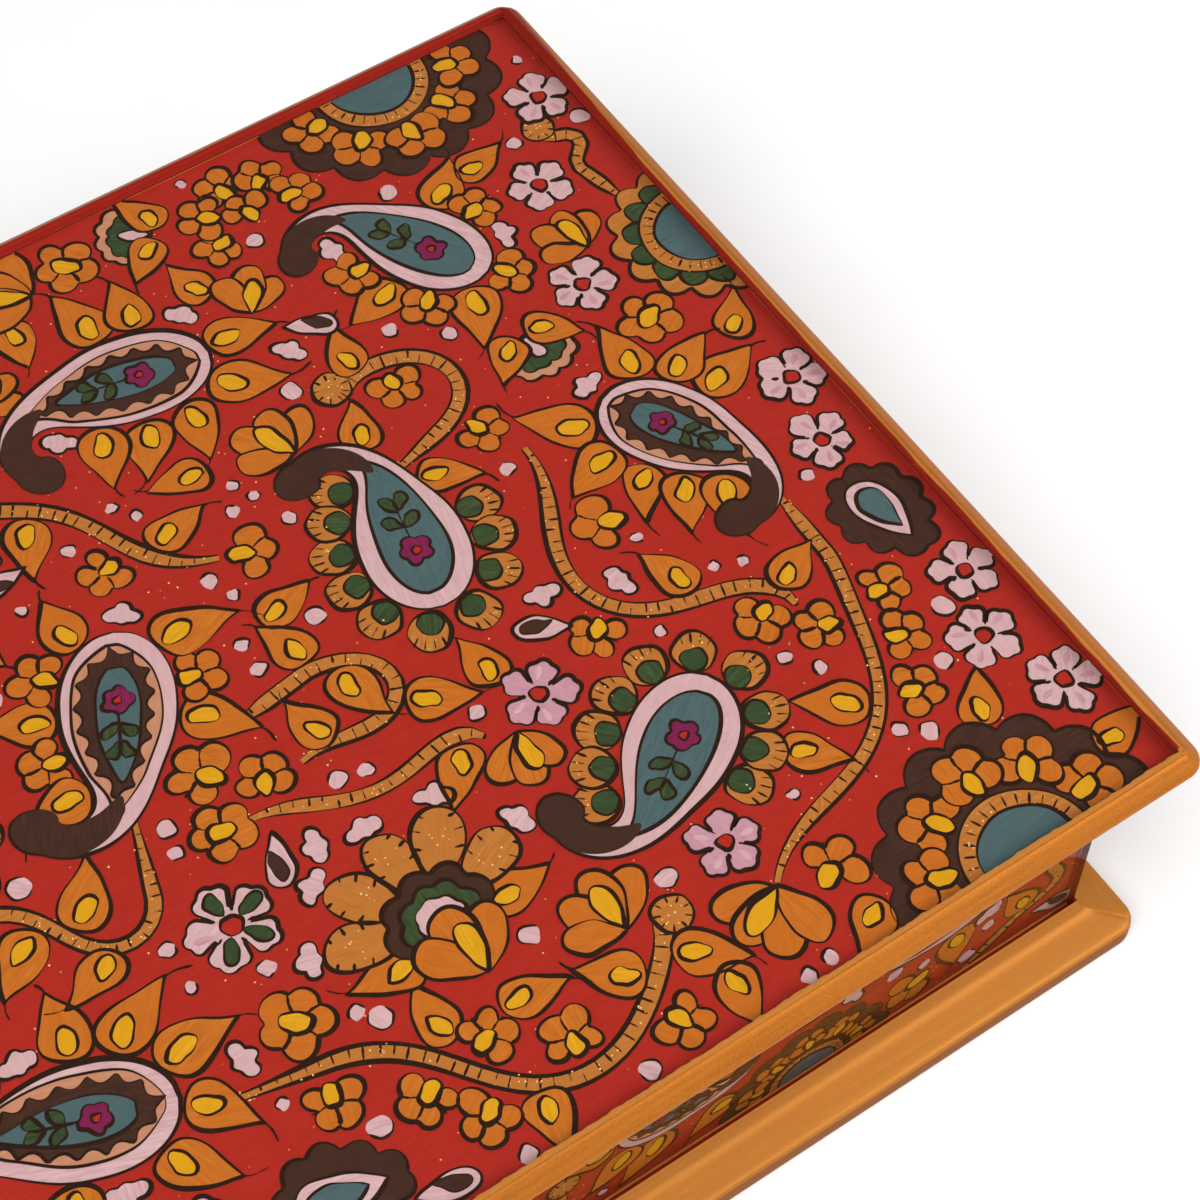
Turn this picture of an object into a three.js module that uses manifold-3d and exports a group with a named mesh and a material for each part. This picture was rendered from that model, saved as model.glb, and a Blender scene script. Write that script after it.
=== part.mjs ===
// A hinged jewelry box of gold-painted wood with painted glass panels.
// Millimetres, +Z up. The origin is under the middle of the box, on the surface it stands on.
// +X runs along the long front, +Y from the front to the hinged back.

import * as THREE from 'three';
import { mergeVertices } from 'three/addons/utils/BufferGeometryUtils.js';
import Module from 'manifold-3d';

const wasm = await Module();
wasm.setup();

// Overall size of the lid and the walls
const lidWidth = 250;
const lidDepth = 200;
const wallInset = 10;
const wallThickness = 10;
const wallTop = 52;
const wallLipHeight = 2;

// Foot moulding: set back a little from the lid's edge, with a cove against the wall
const footSetback = 1.3;
const footEdgeHeight = 5.3;
const footCoveWidth = 2.55;
const footCoveStartHeight = 6;
const footCoveTop = 8.9;
const footLip = 0.45;
const footSeatWidth = 5;
const footChamfer = 0.5;

// Lid moulding: a narrow flat lip, a bevel, a thin upright edge, a soffit and a cove below it
const lidThickness = 9.8;
const partingGap = 0.2;
const rimLipInset = 2.8;
const rimLipWidth = 0.6;
const rimBevelDrop = 2.4;
const rimEdgeHeight = 1.4;
const rimSoffit = 1.2;
const rimFootOverhang = 1.4;
const rimFootHeight = 1.2;
const rimLedge = 4;
const rimLedgeThickness = 2.3;

// Rounding of the mouldings
const cornerRadius = 4;
const edgeRounding = 0.5;
const cornerSteps = 3;
const curveSteps = 3;

// Glass and floor
const lidGlassThickness = 3;
const lidGlassSink = 0.1;
const sideGlassThickness = 2;
const glassChamfer = 0.3;
const bottomBoardThickness = 3.9;

// Linings of card and velvet
const wallLiningThickness = 2;
const wallLiningDrop = 1;
const floorPadThickness = 3.2;
const lidLiningThickness = 2.1;
const liningRounding = 0.6;
const liningRoundingSteps = 2;

// Clearances: glue lines, mitres, bedded glass, soft linings
const glueGap = 0.1;
const mitreGap = 0.3;
const bedGap = 0.3;
const softGap = 0.3;

// Butt hinges
const hingeFromEnd = 50;
const hingeLength = 25;
const knuckleCount = 5;
const knuckleGap = 0.3;
const barrelRadius = 1.9;
const barrelStandoff = 0.3;
const barrelClearance = 0.4;
const pinRadius = 0.75;
const pinPlay = 0.3;
const pinHeadRadius = 1.2;
const pinHeadHeight = 0.5;
const leafThickness = 0.8;
const leafMargin = 1.3;
const leafGap = 0.3;
const mortiseGap = 0.15;
const roundSides = 24;

// Countersunk hinge screws
const screwFromEnd = 5;
const screwInset = 4.4;
const screwHeadRadius = 1.5;
const screwHeadHeight = 0.8;
const screwHeadSink = 0.05;
const screwShankRadius = 0.7;
const screwLength = 5;
const screwTip = 1.2;
const screwPlay = 0.2;
const slotWidth = 0.4;
const slotDepth = 0.4;

// Places that follow from the sizes above
const panelHalfWidth = lidWidth / 2 - wallInset;
const panelHalfDepth = lidDepth / 2 - wallInset;
const boardHalfWidth = panelHalfWidth - sideGlassThickness - bedGap;
const boardHalfDepth = panelHalfDepth - sideGlassThickness - bedGap;
const innerHalfWidth = panelHalfWidth - wallThickness;
const innerHalfDepth = panelHalfDepth - wallThickness;
const footWallFace = wallInset - footSetback;
const footInnerEdge = footWallFace + footSeatWidth;
const floorTop = footEdgeHeight;
const lidBottom = wallTop + partingGap;
const lidTop = lidBottom + lidThickness;
const glassTop = lidTop - lidGlassSink;
const glassBottom = glassTop - lidGlassThickness;
const glassInset = rimLipInset + rimLipWidth;
const rimInner = wallInset + wallThickness;
const rebateFloor = glassBottom - bedGap;
const ledgeTop = lidBottom + rimLedgeThickness;
const hingeY = panelHalfDepth + barrelStandoff + barrelRadius;
const hingeZ = wallTop + partingGap / 2;
const leafInnerY = innerHalfDepth + leafMargin;
const leafOffset = leafGap / 2;
const leafFarSide = leafOffset + leafThickness;
const pinBoreRadius = pinRadius + pinPlay;
const knucklePitch = hingeLength / knuckleCount;
const cutOver = 2;

// Finishes
const finish = (color, roughness, metalness) =>
  new THREE.MeshStandardMaterial({ color, roughness, metalness });
const goldPaint = finish('#c5762b', 0.45, 0.35);
const bareWood = finish('#8a6440', 0.75, 0);
const paintedGlass = finish('#b02a22', 0.08, 0);
const velvet = finish('#1f1b24', 0.95, 0);
const brass = finish('#b89a4e', 0.35, 0.9);

const box = new THREE.Group();
box.name = 'jewelry_box';

function addPiece(name, geometry, material, parent = box) {
  const mesh = new THREE.Mesh(geometry, material);
  mesh.name = name;
  parent.add(mesh);
  return mesh;
}

// A geometry with shared corners and no collapsed triangles
function weld(geometry) {
  const bare = geometry.clone();
  bare.deleteAttribute('normal');
  bare.deleteAttribute('uv');
  const welded = mergeVertices(bare, 1e-4);
  const corners = welded.index.array;
  const kept = [];
  for (let i = 0; i < corners.length; i += 3) {
    const [a, b, c] = [corners[i], corners[i + 1], corners[i + 2]];
    if (a !== b && b !== c && c !== a) kept.push(a, b, c);
  }
  welded.setIndex(kept);
  return welded;
}

function toSolid(geometry) {
  const welded = weld(geometry);
  return new wasm.Manifold(new wasm.Mesh({
    numProp: 3,
    vertProperties: new Float32Array(welded.attributes.position.array),
    triVerts: new Uint32Array(welded.index.array),
  }));
}

function toGeometry(solid) {
  const mesh = solid.getMesh();
  const geometry = new THREE.BufferGeometry();
  geometry.setAttribute('position', new THREE.BufferAttribute(mesh.vertProperties, 3));
  geometry.setIndex(new THREE.BufferAttribute(mesh.triVerts, 1));
  geometry.computeVertexNormals();
  return geometry;
}

const join = (geometries) => geometries.map(toSolid).reduce((sum, next) => sum.add(next));

const cut = (solid, cutters) => cutters.map(toSolid).reduce((rest, next) => rest.subtract(next), solid);

// A block between its lowest and its highest corner
function block([x0, y0, z0], [x1, y1, z1]) {
  const geometry = new THREE.BoxGeometry(x1 - x0, y1 - y0, z1 - z0);
  return geometry.translate((x0 + x1) / 2, (y0 + y1) / 2, (z0 + z1) / 2);
}

// A block that is the same on both sides of x = 0
const centredBlock = (halfX, [y0, z0], [y1, z1]) => block([-halfX, y0, z0], [halfX, y1, z1]);

// A flat plate with eased edges, centred on X and Y, from z = 0 up
function easedPlate(width, depth, thickness, ease, steps) {
  const outline = new THREE.Shape();
  outline.moveTo(-width / 2 + ease, -depth / 2 + ease);
  outline.lineTo(width / 2 - ease, -depth / 2 + ease);
  outline.lineTo(width / 2 - ease, depth / 2 - ease);
  outline.lineTo(-width / 2 + ease, depth / 2 - ease);
  const geometry = new THREE.ExtrudeGeometry(outline, {
    depth: thickness - 2 * ease,
    bevelEnabled: true,
    bevelThickness: ease,
    bevelSize: ease,
    bevelSegments: steps,
  });
  return geometry.translate(0, 0, ease);
}

// A round bar along X
function barAlongX(radius, x0, x1) {
  const geometry = new THREE.CylinderGeometry(radius, radius, x1 - x0, roundSides);
  return geometry.rotateZ(Math.PI / 2).translate((x0 + x1) / 2, hingeY, hingeZ);
}

// The four sides. Each is drawn as a front: along X, with its outer edge on y = 0 and inward +Y.
const sides = [
  { name: 'front', turn: 0, half: lidWidth / 2, reach: lidDepth / 2 },
  { name: 'right', turn: Math.PI / 2, half: lidDepth / 2, reach: lidWidth / 2 },
  { name: 'back', turn: Math.PI, half: lidWidth / 2, reach: lidDepth / 2 },
  { name: 'left', turn: -Math.PI / 2, half: lidDepth / 2, reach: lidWidth / 2 },
];

function placement(side, setback) {
  const turned = new THREE.Matrix4().makeRotationZ(side.turn);
  return turned.multiply(new THREE.Matrix4().makeTranslation(0, setback - side.reach, 0));
}

// A rail of a mitred frame. The profile's points are [inward, height]. Its ends are mitred, and the
// part of the profile that lies within the corner radius swings round the corner for 45 degrees.
function mitredRail(profile, halfLength) {
  const stations = 2 * cornerSteps + 1;
  const geometry = new THREE.ExtrudeGeometry(profile, {
    depth: stations,
    steps: stations,
    curveSegments: curveSteps,
    bevelEnabled: false,
  });
  const position = geometry.attributes.position;
  for (let i = 0; i < position.count; i += 1) {
    const inward = position.getX(i);
    const height = position.getY(i);
    const station = Math.round(position.getZ(i));
    const end = station > cornerSteps ? 1 : -1;
    const swung = end > 0 ? station - cornerSteps - 1 : cornerSteps - station;
    const angle = (swung / cornerSteps) * (Math.PI / 4);
    const radius = Math.max(cornerRadius - inward, 0);
    const straight = halfLength - Math.max(inward, cornerRadius) - mitreGap * Math.SQRT1_2;
    const depth = radius > 0 ? cornerRadius - radius * Math.cos(angle) : inward;
    position.setXYZ(i, end * (straight + radius * Math.sin(angle)), depth, height);
  }
  return weld(geometry);
}

// The foot's profile: a plain edge, a gentle slope, and a cove that sweeps up to a lip at the glass
function footProfile() {
  const lipInner = footWallFace - bedGap;
  const lipOuter = lipInner - footLip;
  const coveStart = lipOuter - footCoveWidth;
  const profile = new THREE.Shape();
  profile.moveTo(footChamfer, 0);
  profile.lineTo(0, footChamfer);
  profile.lineTo(0, footEdgeHeight - edgeRounding);
  profile.quadraticCurveTo(0, footEdgeHeight, edgeRounding, footEdgeHeight);
  profile.lineTo(coveStart, footCoveStartHeight);
  profile.absellipse(coveStart, footCoveTop, footCoveWidth, footCoveTop - footCoveStartHeight,
    -Math.PI / 2, 0, false);
  profile.lineTo(lipInner, footCoveTop);
  profile.lineTo(lipInner, floorTop);
  profile.lineTo(footInnerEdge, floorTop);
  profile.lineTo(footInnerEdge, 0);
  return profile;
}

// The rim's profile: lip, bevel, upright edge, soffit, cove, seat, and the two rebates inside it
function rimProfile() {
  const bevelFoot = lidTop - rimBevelDrop;
  const edgeFoot = bevelFoot - rimEdgeHeight;
  const bevelSlope = rimBevelDrop / rimLipInset;
  const coveInner = wallInset - rimFootOverhang;
  const coveFoot = lidBottom + rimFootHeight;
  const profile = new THREE.Shape();
  profile.moveTo(glassInset, rebateFloor);
  profile.lineTo(glassInset, lidTop);
  profile.lineTo(rimLipInset, lidTop);
  profile.lineTo(edgeRounding, bevelFoot + edgeRounding * bevelSlope);
  profile.quadraticCurveTo(0, bevelFoot, 0, bevelFoot - edgeRounding);
  profile.lineTo(0, edgeFoot + edgeRounding);
  profile.quadraticCurveTo(0, edgeFoot, edgeRounding, edgeFoot);
  profile.lineTo(rimSoffit, edgeFoot);
  profile.absellipse(rimSoffit, coveFoot, coveInner - rimSoffit, edgeFoot - coveFoot,
    Math.PI / 2, 0, true);
  profile.lineTo(coveInner, lidBottom);
  profile.lineTo(rimInner, lidBottom);
  profile.lineTo(rimInner, ledgeTop);
  profile.lineTo(rimInner - rimLedge, ledgeTop);
  profile.lineTo(rimInner - rimLedge, rebateFloor);
  return profile;
}

// Holes that the two hinges need, in a board below them (direction -1) or above them (direction 1)

const hingeCentres = [hingeFromEnd - lidWidth / 2, lidWidth / 2 - hingeFromEnd];
const screwOffsets = [screwFromEnd - hingeLength / 2, hingeLength / 2 - screwFromEnd];
const screwY = leafInnerY + screwInset;

function pilotHole(x, direction, radius, from, length) {
  const geometry = new THREE.CylinderGeometry(radius, radius, length, roundSides);
  return geometry.rotateX(Math.PI / 2).translate(x, screwY, hingeZ + direction * (from + length / 2));
}

function mortise(centre, direction) {
  const deep = hingeZ + direction * (leafFarSide + mortiseGap);
  const open = hingeZ - direction * cutOver;
  const halfX = hingeLength / 2 + mortiseGap;
  return centredBlock(halfX, [leafInnerY - mortiseGap, Math.min(deep, open)],
    [hingeY, Math.max(deep, open)]).translate(centre, 0, 0);
}

function barrelNotch(centre) {
  const space = barrelRadius + barrelClearance;
  const halfX = hingeLength / 2 + pinHeadHeight + barrelClearance;
  return centredBlock(halfX, [hingeY - space, lidBottom - cutOver],
    [hingeY + space, hingeZ + space]).translate(centre, 0, 0);
}

const hingeCuts = (direction) => hingeCentres.flatMap((centre) => [
  mortise(centre, direction),
  ...screwOffsets.map((offset) =>
    pilotHole(centre + offset, direction, screwShankRadius + screwPlay, 0, screwLength + screwTip)),
]);

// The mitred foot and the floor

function addFoot() {
  sides.forEach((side) => {
    const rail = mitredRail(footProfile(), side.half - footSetback);
    addPiece(`base_rail_${side.name}`, rail, goldPaint).applyMatrix4(placement(side, footSetback));
  });
  const edge = footSetback + footInnerEdge + bedGap;
  const halfX = lidWidth / 2 - edge;
  const halfY = lidDepth / 2 - edge;
  const board = centredBlock(halfX, [-halfY, floorTop - bottomBoardThickness], [halfY, floorTop]);
  addPiece('bottom_board', board, bareWood);
}

// The walls: boards with a lip over the top edge of the glass that covers them

function wallBoard(halfOuter, halfLip, outerY, lipY, innerY) {
  const foot = floorTop + glueGap;
  const board = centredBlock(halfOuter, [-outerY, foot], [-innerY, wallTop]);
  const lip = centredBlock(halfLip, [-lipY, wallTop - wallLipHeight], [-innerY, wallTop]);
  return join([board, lip]);
}

function addWalls() {
  const sideEnd = innerHalfDepth - glueGap;
  sides.forEach((side) => {
    const long = side.reach < side.half;
    const front = wallBoard(boardHalfWidth, panelHalfWidth, boardHalfDepth, panelHalfDepth, innerHalfDepth);
    const short = wallBoard(sideEnd, sideEnd, boardHalfWidth, panelHalfWidth, innerHalfWidth);
    const turned = new THREE.Matrix4().makeRotationZ(side.turn);
    const cutters = side.name === 'back' ? hingeCuts(-1) : [];
    cutters.forEach((cutter) => cutter.applyMatrix4(turned.clone().invert()));
    const geometry = toGeometry(cut(long ? front : short, cutters));
    addPiece(`wall_${side.name}`, geometry, bareWood).applyMatrix4(turned);
  });
}

// The painted panels: the long ones cover the corners, and the short ones stand between them

function addSideGlass() {
  const foot = floorTop + glueGap;
  const height = wallTop - wallLipHeight - bedGap - foot;
  sides.forEach((side) => {
    const long = side.reach < side.half;
    const width = 2 * (long ? panelHalfWidth : panelHalfDepth - sideGlassThickness - bedGap);
    const pane = easedPlate(width, height, sideGlassThickness, glassChamfer, 1);
    pane.rotateX(Math.PI / 2).translate(0, wallInset + sideGlassThickness, foot + height / 2);
    addPiece(`side_glass_${side.name}`, pane, paintedGlass).applyMatrix4(placement(side, 0));
  });
}

// Velvet-covered cards on the walls and a padded one on the floor

function addLinings() {
  const foot = floorTop + softGap;
  const height = wallTop - wallLiningDrop - foot;
  sides.forEach((side) => {
    const long = side.reach < side.half;
    const inner = long ? innerHalfDepth : innerHalfWidth;
    const halfLength = long
      ? innerHalfWidth - softGap
      : innerHalfDepth - 2 * softGap - wallLiningThickness;
    const card = easedPlate(2 * halfLength, height, wallLiningThickness, liningRounding,
      liningRoundingSteps);
    card.rotateX(Math.PI / 2).translate(0, softGap - inner + wallLiningThickness, foot + height / 2);
    const turned = new THREE.Matrix4().makeRotationZ(side.turn);
    addPiece(`wall_lining_${side.name}`, card, velvet).applyMatrix4(turned);
  });
  const edge = wallLiningThickness + 2 * softGap;
  const pad = easedPlate(2 * (innerHalfWidth - edge), 2 * (innerHalfDepth - edge), floorPadThickness,
    liningRounding, liningRoundingSteps);
  addPiece('floor_pad', pad.translate(0, 0, foot), velvet);
}

// The lid: a mitred rim, a board let into it, the glass on both, and a lined card below

function addLid() {
  const lid = new THREE.Group();
  box.add(lid);
  sides.forEach((side) => {
    const place = placement(side, 0);
    const rail = mitredRail(rimProfile(), side.half);
    if (side.name === 'back') {
      const cutters = [...hingeCuts(1), ...hingeCentres.map(barrelNotch)];
      cutters.forEach((cutter) => cutter.applyMatrix4(place.clone().invert()));
      const notched = toGeometry(cut(toSolid(rail), cutters));
      addPiece('lid_rail_back', notched, goldPaint, lid).applyMatrix4(place);
    } else {
      addPiece(`lid_rail_${side.name}`, rail, goldPaint, lid).applyMatrix4(place);
    }
  });

  const boardEdge = rimInner - rimLedge + bedGap;
  const halfX = lidWidth / 2 - boardEdge;
  const halfY = lidDepth / 2 - boardEdge;
  const board = centredBlock(halfX, [-halfY, ledgeTop + glueGap], [halfY, rebateFloor]);
  addPiece('lid_board', board, bareWood, lid);

  const glassEdge = glassInset + bedGap;
  const pane = easedPlate(lidWidth - 2 * glassEdge, lidDepth - 2 * glassEdge, lidGlassThickness,
    glassChamfer, 1);
  addPiece('lid_glass', pane, paintedGlass, lid).position.z = glassBottom;

  const cardEdge = rimInner + softGap;
  const card = easedPlate(lidWidth - 2 * cardEdge, lidDepth - 2 * cardEdge, lidLiningThickness,
    liningRounding, liningRoundingSteps);
  addPiece('lid_lining', card, velvet, lid).position.z = ledgeTop + glueGap - softGap - lidLiningThickness;
}

// A leaf: a plate let into the wood, with every other knuckle of the barrel. direction is -1 for the
// fixed leaf, which lies below the axis, and 1 for the moving one. first is its first knuckle.
function hingeLeaf(direction, first) {
  const low = hingeZ + Math.min(direction * leafOffset, direction * leafFarSide);
  const plate = centredBlock(hingeLength / 2, [leafInnerY, low], [hingeY, low + leafThickness]);
  const own = [plate];
  const cutters = [barAlongX(pinBoreRadius, -hingeLength, hingeLength)];
  const relief = barrelRadius + knuckleGap;
  for (let i = 0; i < knuckleCount; i += 1) {
    const x = (i - (knuckleCount - 1) / 2) * knucklePitch;
    if (i % 2 === first) {
      const half = (knucklePitch - knuckleGap) / 2;
      own.push(barAlongX(barrelRadius, x - half, x + half));
    } else {
      const half = (knucklePitch + knuckleGap) / 2;
      const space = centredBlock(half, [hingeY - relief, hingeZ - relief], [hingeY + relief, hingeZ + relief]);
      cutters.push(space.translate(x, 0, 0));
    }
  }
  screwOffsets.forEach((x) => {
    const radius = screwShankRadius + screwPlay;
    cutters.push(pilotHole(x, direction, radius, 0, leafFarSide + cutOver));
    cutters.push(countersink(x, direction));
  });
  return toGeometry(cut(join(own), cutters));
}

// The cone that a screw head sinks into, wider than the head by the screw's play
function countersink(x, direction) {
  const wide = screwHeadRadius + screwPlay;
  const narrow = screwShankRadius + screwPlay;
  const top = direction < 0 ? wide : narrow;
  const bottom = direction < 0 ? narrow : wide;
  const cone = new THREE.CylinderGeometry(top, bottom, screwHeadHeight, roundSides);
  const centre = leafOffset + screwHeadHeight / 2;
  return cone.rotateX(Math.PI / 2).translate(x, screwY, hingeZ + direction * centre);
}

// A countersunk screw with its head at z = 0, pointing down, and a slot across the head
function screwShape() {
  const outline = [
    [0, -screwLength],
    [screwShankRadius, screwTip - screwLength],
    [screwShankRadius, -screwHeadHeight],
    [screwHeadRadius, 0],
    [0, 0],
  ].map(([radius, height]) => new THREE.Vector2(radius, height));
  const body = new THREE.LatheGeometry(outline, roundSides / 2).rotateX(Math.PI / 2);
  const slot = block([-screwHeadRadius - cutOver, -slotWidth / 2, -slotDepth],
    [screwHeadRadius + cutOver, slotWidth / 2, cutOver]);
  return cut(toSolid(body), [slot]);
}

// The pin: a plain rod with a small head riveted over at each end
function pinShape() {
  const shoulder = hingeLength / 2;
  const end = shoulder + pinHeadHeight;
  const outline = [
    [0, -end],
    [pinHeadRadius, -end],
    [pinHeadRadius, -shoulder],
    [pinRadius, -shoulder],
    [pinRadius, shoulder],
    [pinHeadRadius, shoulder],
    [pinHeadRadius, end],
    [0, end],
  ].map(([radius, along]) => new THREE.Vector2(radius, along));
  const rod = new THREE.LatheGeometry(outline, roundSides);
  return weld(rod.rotateZ(-Math.PI / 2).translate(0, hingeY, hingeZ));
}

function addHinge(name, centre) {
  const hinge = new THREE.Group();
  hinge.position.x = centre;
  box.add(hinge);
  addPiece(`${name}_fixed_leaf`, hingeLeaf(-1, 0), brass, hinge);
  addPiece(`${name}_moving_leaf`, hingeLeaf(1, 1), brass, hinge);
  addPiece(`${name}_pin`, pinShape(), brass, hinge);
  screwOffsets.forEach((x, i) => {
    [['fixed', -1], ['moving', 1]].forEach(([leaf, direction]) => {
      const screw = addPiece(`${name}_${leaf}_screw_${i + 1}`, toGeometry(screwShape()), brass, hinge);
      screw.position.set(x, screwY, hingeZ + direction * (leafOffset + screwHeadSink));
      screw.rotation.x = direction > 0 ? Math.PI : 0;
    });
  });
}

addFoot();
addWalls();
addSideGlass();
addLinings();
addLid();
addHinge('hinge_left', hingeCentres[0]);
addHinge('hinge_right', hingeCentres[1]);

export default box;
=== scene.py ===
# %% [markdown]
# # A jewellery box of painted glass
# The object is a shallow wooden box, 250 mm wide, with panes of glass on its lid and its four sides.
# The panes are painted from behind: the black lines first, then the colours, and last the red ground.
# Wooden mouldings with a coat of satin gold paint frame the lid and the foot.
# The fixed frame brings every solid at its real size, and this script adds finish and fine form to it.

import bpy
import numpy as np
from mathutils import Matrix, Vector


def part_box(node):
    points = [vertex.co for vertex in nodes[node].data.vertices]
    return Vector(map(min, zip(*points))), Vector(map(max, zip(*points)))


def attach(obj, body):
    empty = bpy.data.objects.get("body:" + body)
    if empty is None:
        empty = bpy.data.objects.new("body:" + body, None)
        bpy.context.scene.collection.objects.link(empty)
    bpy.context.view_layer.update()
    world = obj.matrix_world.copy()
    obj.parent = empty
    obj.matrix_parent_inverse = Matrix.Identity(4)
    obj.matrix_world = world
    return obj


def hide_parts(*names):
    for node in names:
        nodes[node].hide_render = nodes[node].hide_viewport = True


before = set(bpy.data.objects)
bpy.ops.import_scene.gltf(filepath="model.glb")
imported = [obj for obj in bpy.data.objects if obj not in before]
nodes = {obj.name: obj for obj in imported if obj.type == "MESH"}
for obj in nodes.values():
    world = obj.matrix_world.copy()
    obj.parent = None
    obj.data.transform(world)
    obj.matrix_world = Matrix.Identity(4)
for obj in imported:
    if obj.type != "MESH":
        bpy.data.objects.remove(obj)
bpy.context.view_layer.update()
MM = 0.001
scene = bpy.context.scene
print("solids in the frame:", len(nodes))

# %% [markdown]
# ## The photograph's view
# The four edges of the lid and the foot, read off the photograph, give the camera by least squares.
# A long lens close above the front left of the box looks steeply down on the lid's right half.
# The alternative is to turn the box by eye, but then the taper of the edges never quite fits.

# %% Camera
SENSOR_WIDTH = 36.0
FOCAL_LENGTH = 81.77
camera_data = bpy.data.cameras.new("camera")
camera_data.sensor_width = SENSOR_WIDTH
camera_data.lens = FOCAL_LENGTH
camera = bpy.data.objects.new("camera", camera_data)
camera.location = (-0.0718, -0.2220, 0.4258)
camera.rotation_euler = np.radians((33.42, 0.0, -34.03))
scene.collection.objects.link(camera)
scene.camera = camera
print("camera height in mm:", round(camera.location.z / MM))

# %% [markdown]
# ## Materials, step by step
# Each material is a small graph of nodes. One helper adds a node, sets its inputs and links what is
# passed as a socket, and another turns a colour as it is seen on a screen into linear light. Most
# colours are built up like real paint, one coat over the other, each where its pattern says.


# %% Helpers for materials
def linear(code):
    """A colour such as '#c5762b' in linear light: each share s becomes ((s + 0.055) / 1.055) ^ 2.4."""
    share = np.array([int(code[k : k + 2], 16) for k in (1, 3, 5)]) / 255
    light = np.where(share <= 0.04045, share / 12.92, ((share + 0.055) / 1.055) ** 2.4)
    return (*light, 1.0)


def add_node(tree, kind, values=(), **settings):
    """Adds a node: settings are its properties, and values its inputs, by name or in their order. A
    value is a number, a colour, or the socket that is linked to the input."""
    node = tree.nodes.new(kind)
    for name, value in settings.items():
        setattr(node, name, value)
    for name, value in values.items() if isinstance(values, dict) else enumerate(values):
        if isinstance(value, bpy.types.NodeSocket):
            tree.links.new(value, node.inputs[name])
        else:
            node.inputs[name].default_value = value
    return node


def new_material(name):
    """An empty material, its tree of nodes, and the place of each point on its object."""
    material = bpy.data.materials.new(name)
    material.use_nodes = True
    material.node_tree.nodes.clear()
    place = add_node(material.node_tree, "ShaderNodeTexCoord").outputs["Object"]
    return material, material.node_tree, place


def end_material(tree, values):
    """The last two nodes of most materials: a Principled shader with these inputs, and the output."""
    shader = add_node(tree, "ShaderNodeBsdfPrincipled", values)
    add_node(tree, "ShaderNodeOutputMaterial", {"Surface": shader.outputs[0]})


# The inputs and the output of a Mix node that mixes colours
FACTOR, SIDE_A, SIDE_B, MIXED = 0, 6, 7, 2


def coat(tree, under, over, pattern, low, high, least=0.0, most=1.0):
    """One colour over another: as the pattern goes from low to high, the share of the upper colour
    goes from least to most. A colour is a code or a socket."""
    share = add_node(tree, "ShaderNodeMapRange", (pattern, low, high, least, most))
    under, over = (linear(colour) if isinstance(colour, str) else colour for colour in (under, over))
    values = {FACTOR: share.outputs[0], SIDE_A: under, SIDE_B: over}
    return add_node(tree, "ShaderNodeMix", values, data_type="RGBA").outputs[MIXED]


def where_all(tree, *marks):
    """The product of shares, each of which goes from 0 to 1 as its mark goes from low to high."""
    product = 1.0
    for mark, low, high in marks:
        share = add_node(tree, "ShaderNodeMapRange", (mark, low, high, 0.0, 1.0)).outputs[0]
        product = add_node(tree, "ShaderNodeMath", (product, share), operation="MULTIPLY").outputs[0]
    return product


# %% [markdown]
# ## Studio
# A product like this is photographed on a white sweep under large soft lamps, one from the left and
# a weaker one from the right, both a little in front. The sky is weak, because what the pane mirrors
# to the camera should be nearly dark. Rays that were bent by glass don't see the lamps: the lamps'
# light already reaches the paint through the pane, and would be counted twice.

# %% Floor and light
FLOOR_SIZE = 4.0
PAPER_GRAIN = 0.025
LAMPS = {
    "main_lamp": {"place": (-0.58, -0.28, 1.15), "size": 1.1, "watts": 14.4},
    "right_lamp": {"place": (0.75, -0.60, 0.95), "size": 0.9, "watts": 12.0},
}
SKY_STRENGTH = 0.13

paper, paper_tree, paper_place = new_material("matt_white_paper")
paper_values = {"Vector": paper_place, "Scale": 1 / PAPER_GRAIN, "Detail": 2.0}
paper_grain = add_node(paper_tree, "ShaderNodeTexNoise", paper_values).outputs[0]
paper_colour = coat(paper_tree, "#fbfbfb", "#ffffff", paper_grain, 0.0, 1.0)
paper_values = {"Base Color": paper_colour, "Roughness": 0.9, "Specular IOR Level": 0.1}
end_material(paper_tree, paper_values)

floor_mesh = bpy.data.meshes.new("floor")
floor_corners = np.array([(-1, -1, 0), (1, -1, 0), (1, 1, 0), (-1, 1, 0)]) * FLOOR_SIZE / 2
floor_mesh.from_pydata(floor_corners, [], [(0, 1, 2, 3)])
floor = bpy.data.objects.new("floor", floor_mesh)
floor.data.materials.append(paper)
scene.collection.objects.link(floor)

for lamp_name, choice in LAMPS.items():
    lamp_data = bpy.data.lights.new(lamp_name, "AREA")
    lamp_data.shape = "DISK"
    lamp_data.size = choice["size"]
    lamp_data.energy = choice["watts"]
    lamp = bpy.data.objects.new(lamp_name, lamp_data)
    lamp.location = choice["place"]
    aim = -np.array(choice["place"]) / np.linalg.norm(choice["place"])
    lamp.rotation_euler = (np.arccos(-aim[2]), 0.0, np.arctan2(aim[1], aim[0]) - np.pi / 2)
    lamp.visible_transmission = False
    scene.collection.objects.link(lamp)

world = bpy.data.worlds.new("pale_walls")
scene.world = world
world.use_nodes = True
sky = world.node_tree.nodes["Background"]
sky.inputs["Color"].default_value = (1.0, 1.0, 1.0, 1.0)
sky.inputs["Strength"].default_value = SKY_STRENGTH
scene.view_settings.view_transform = "Standard"

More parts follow.
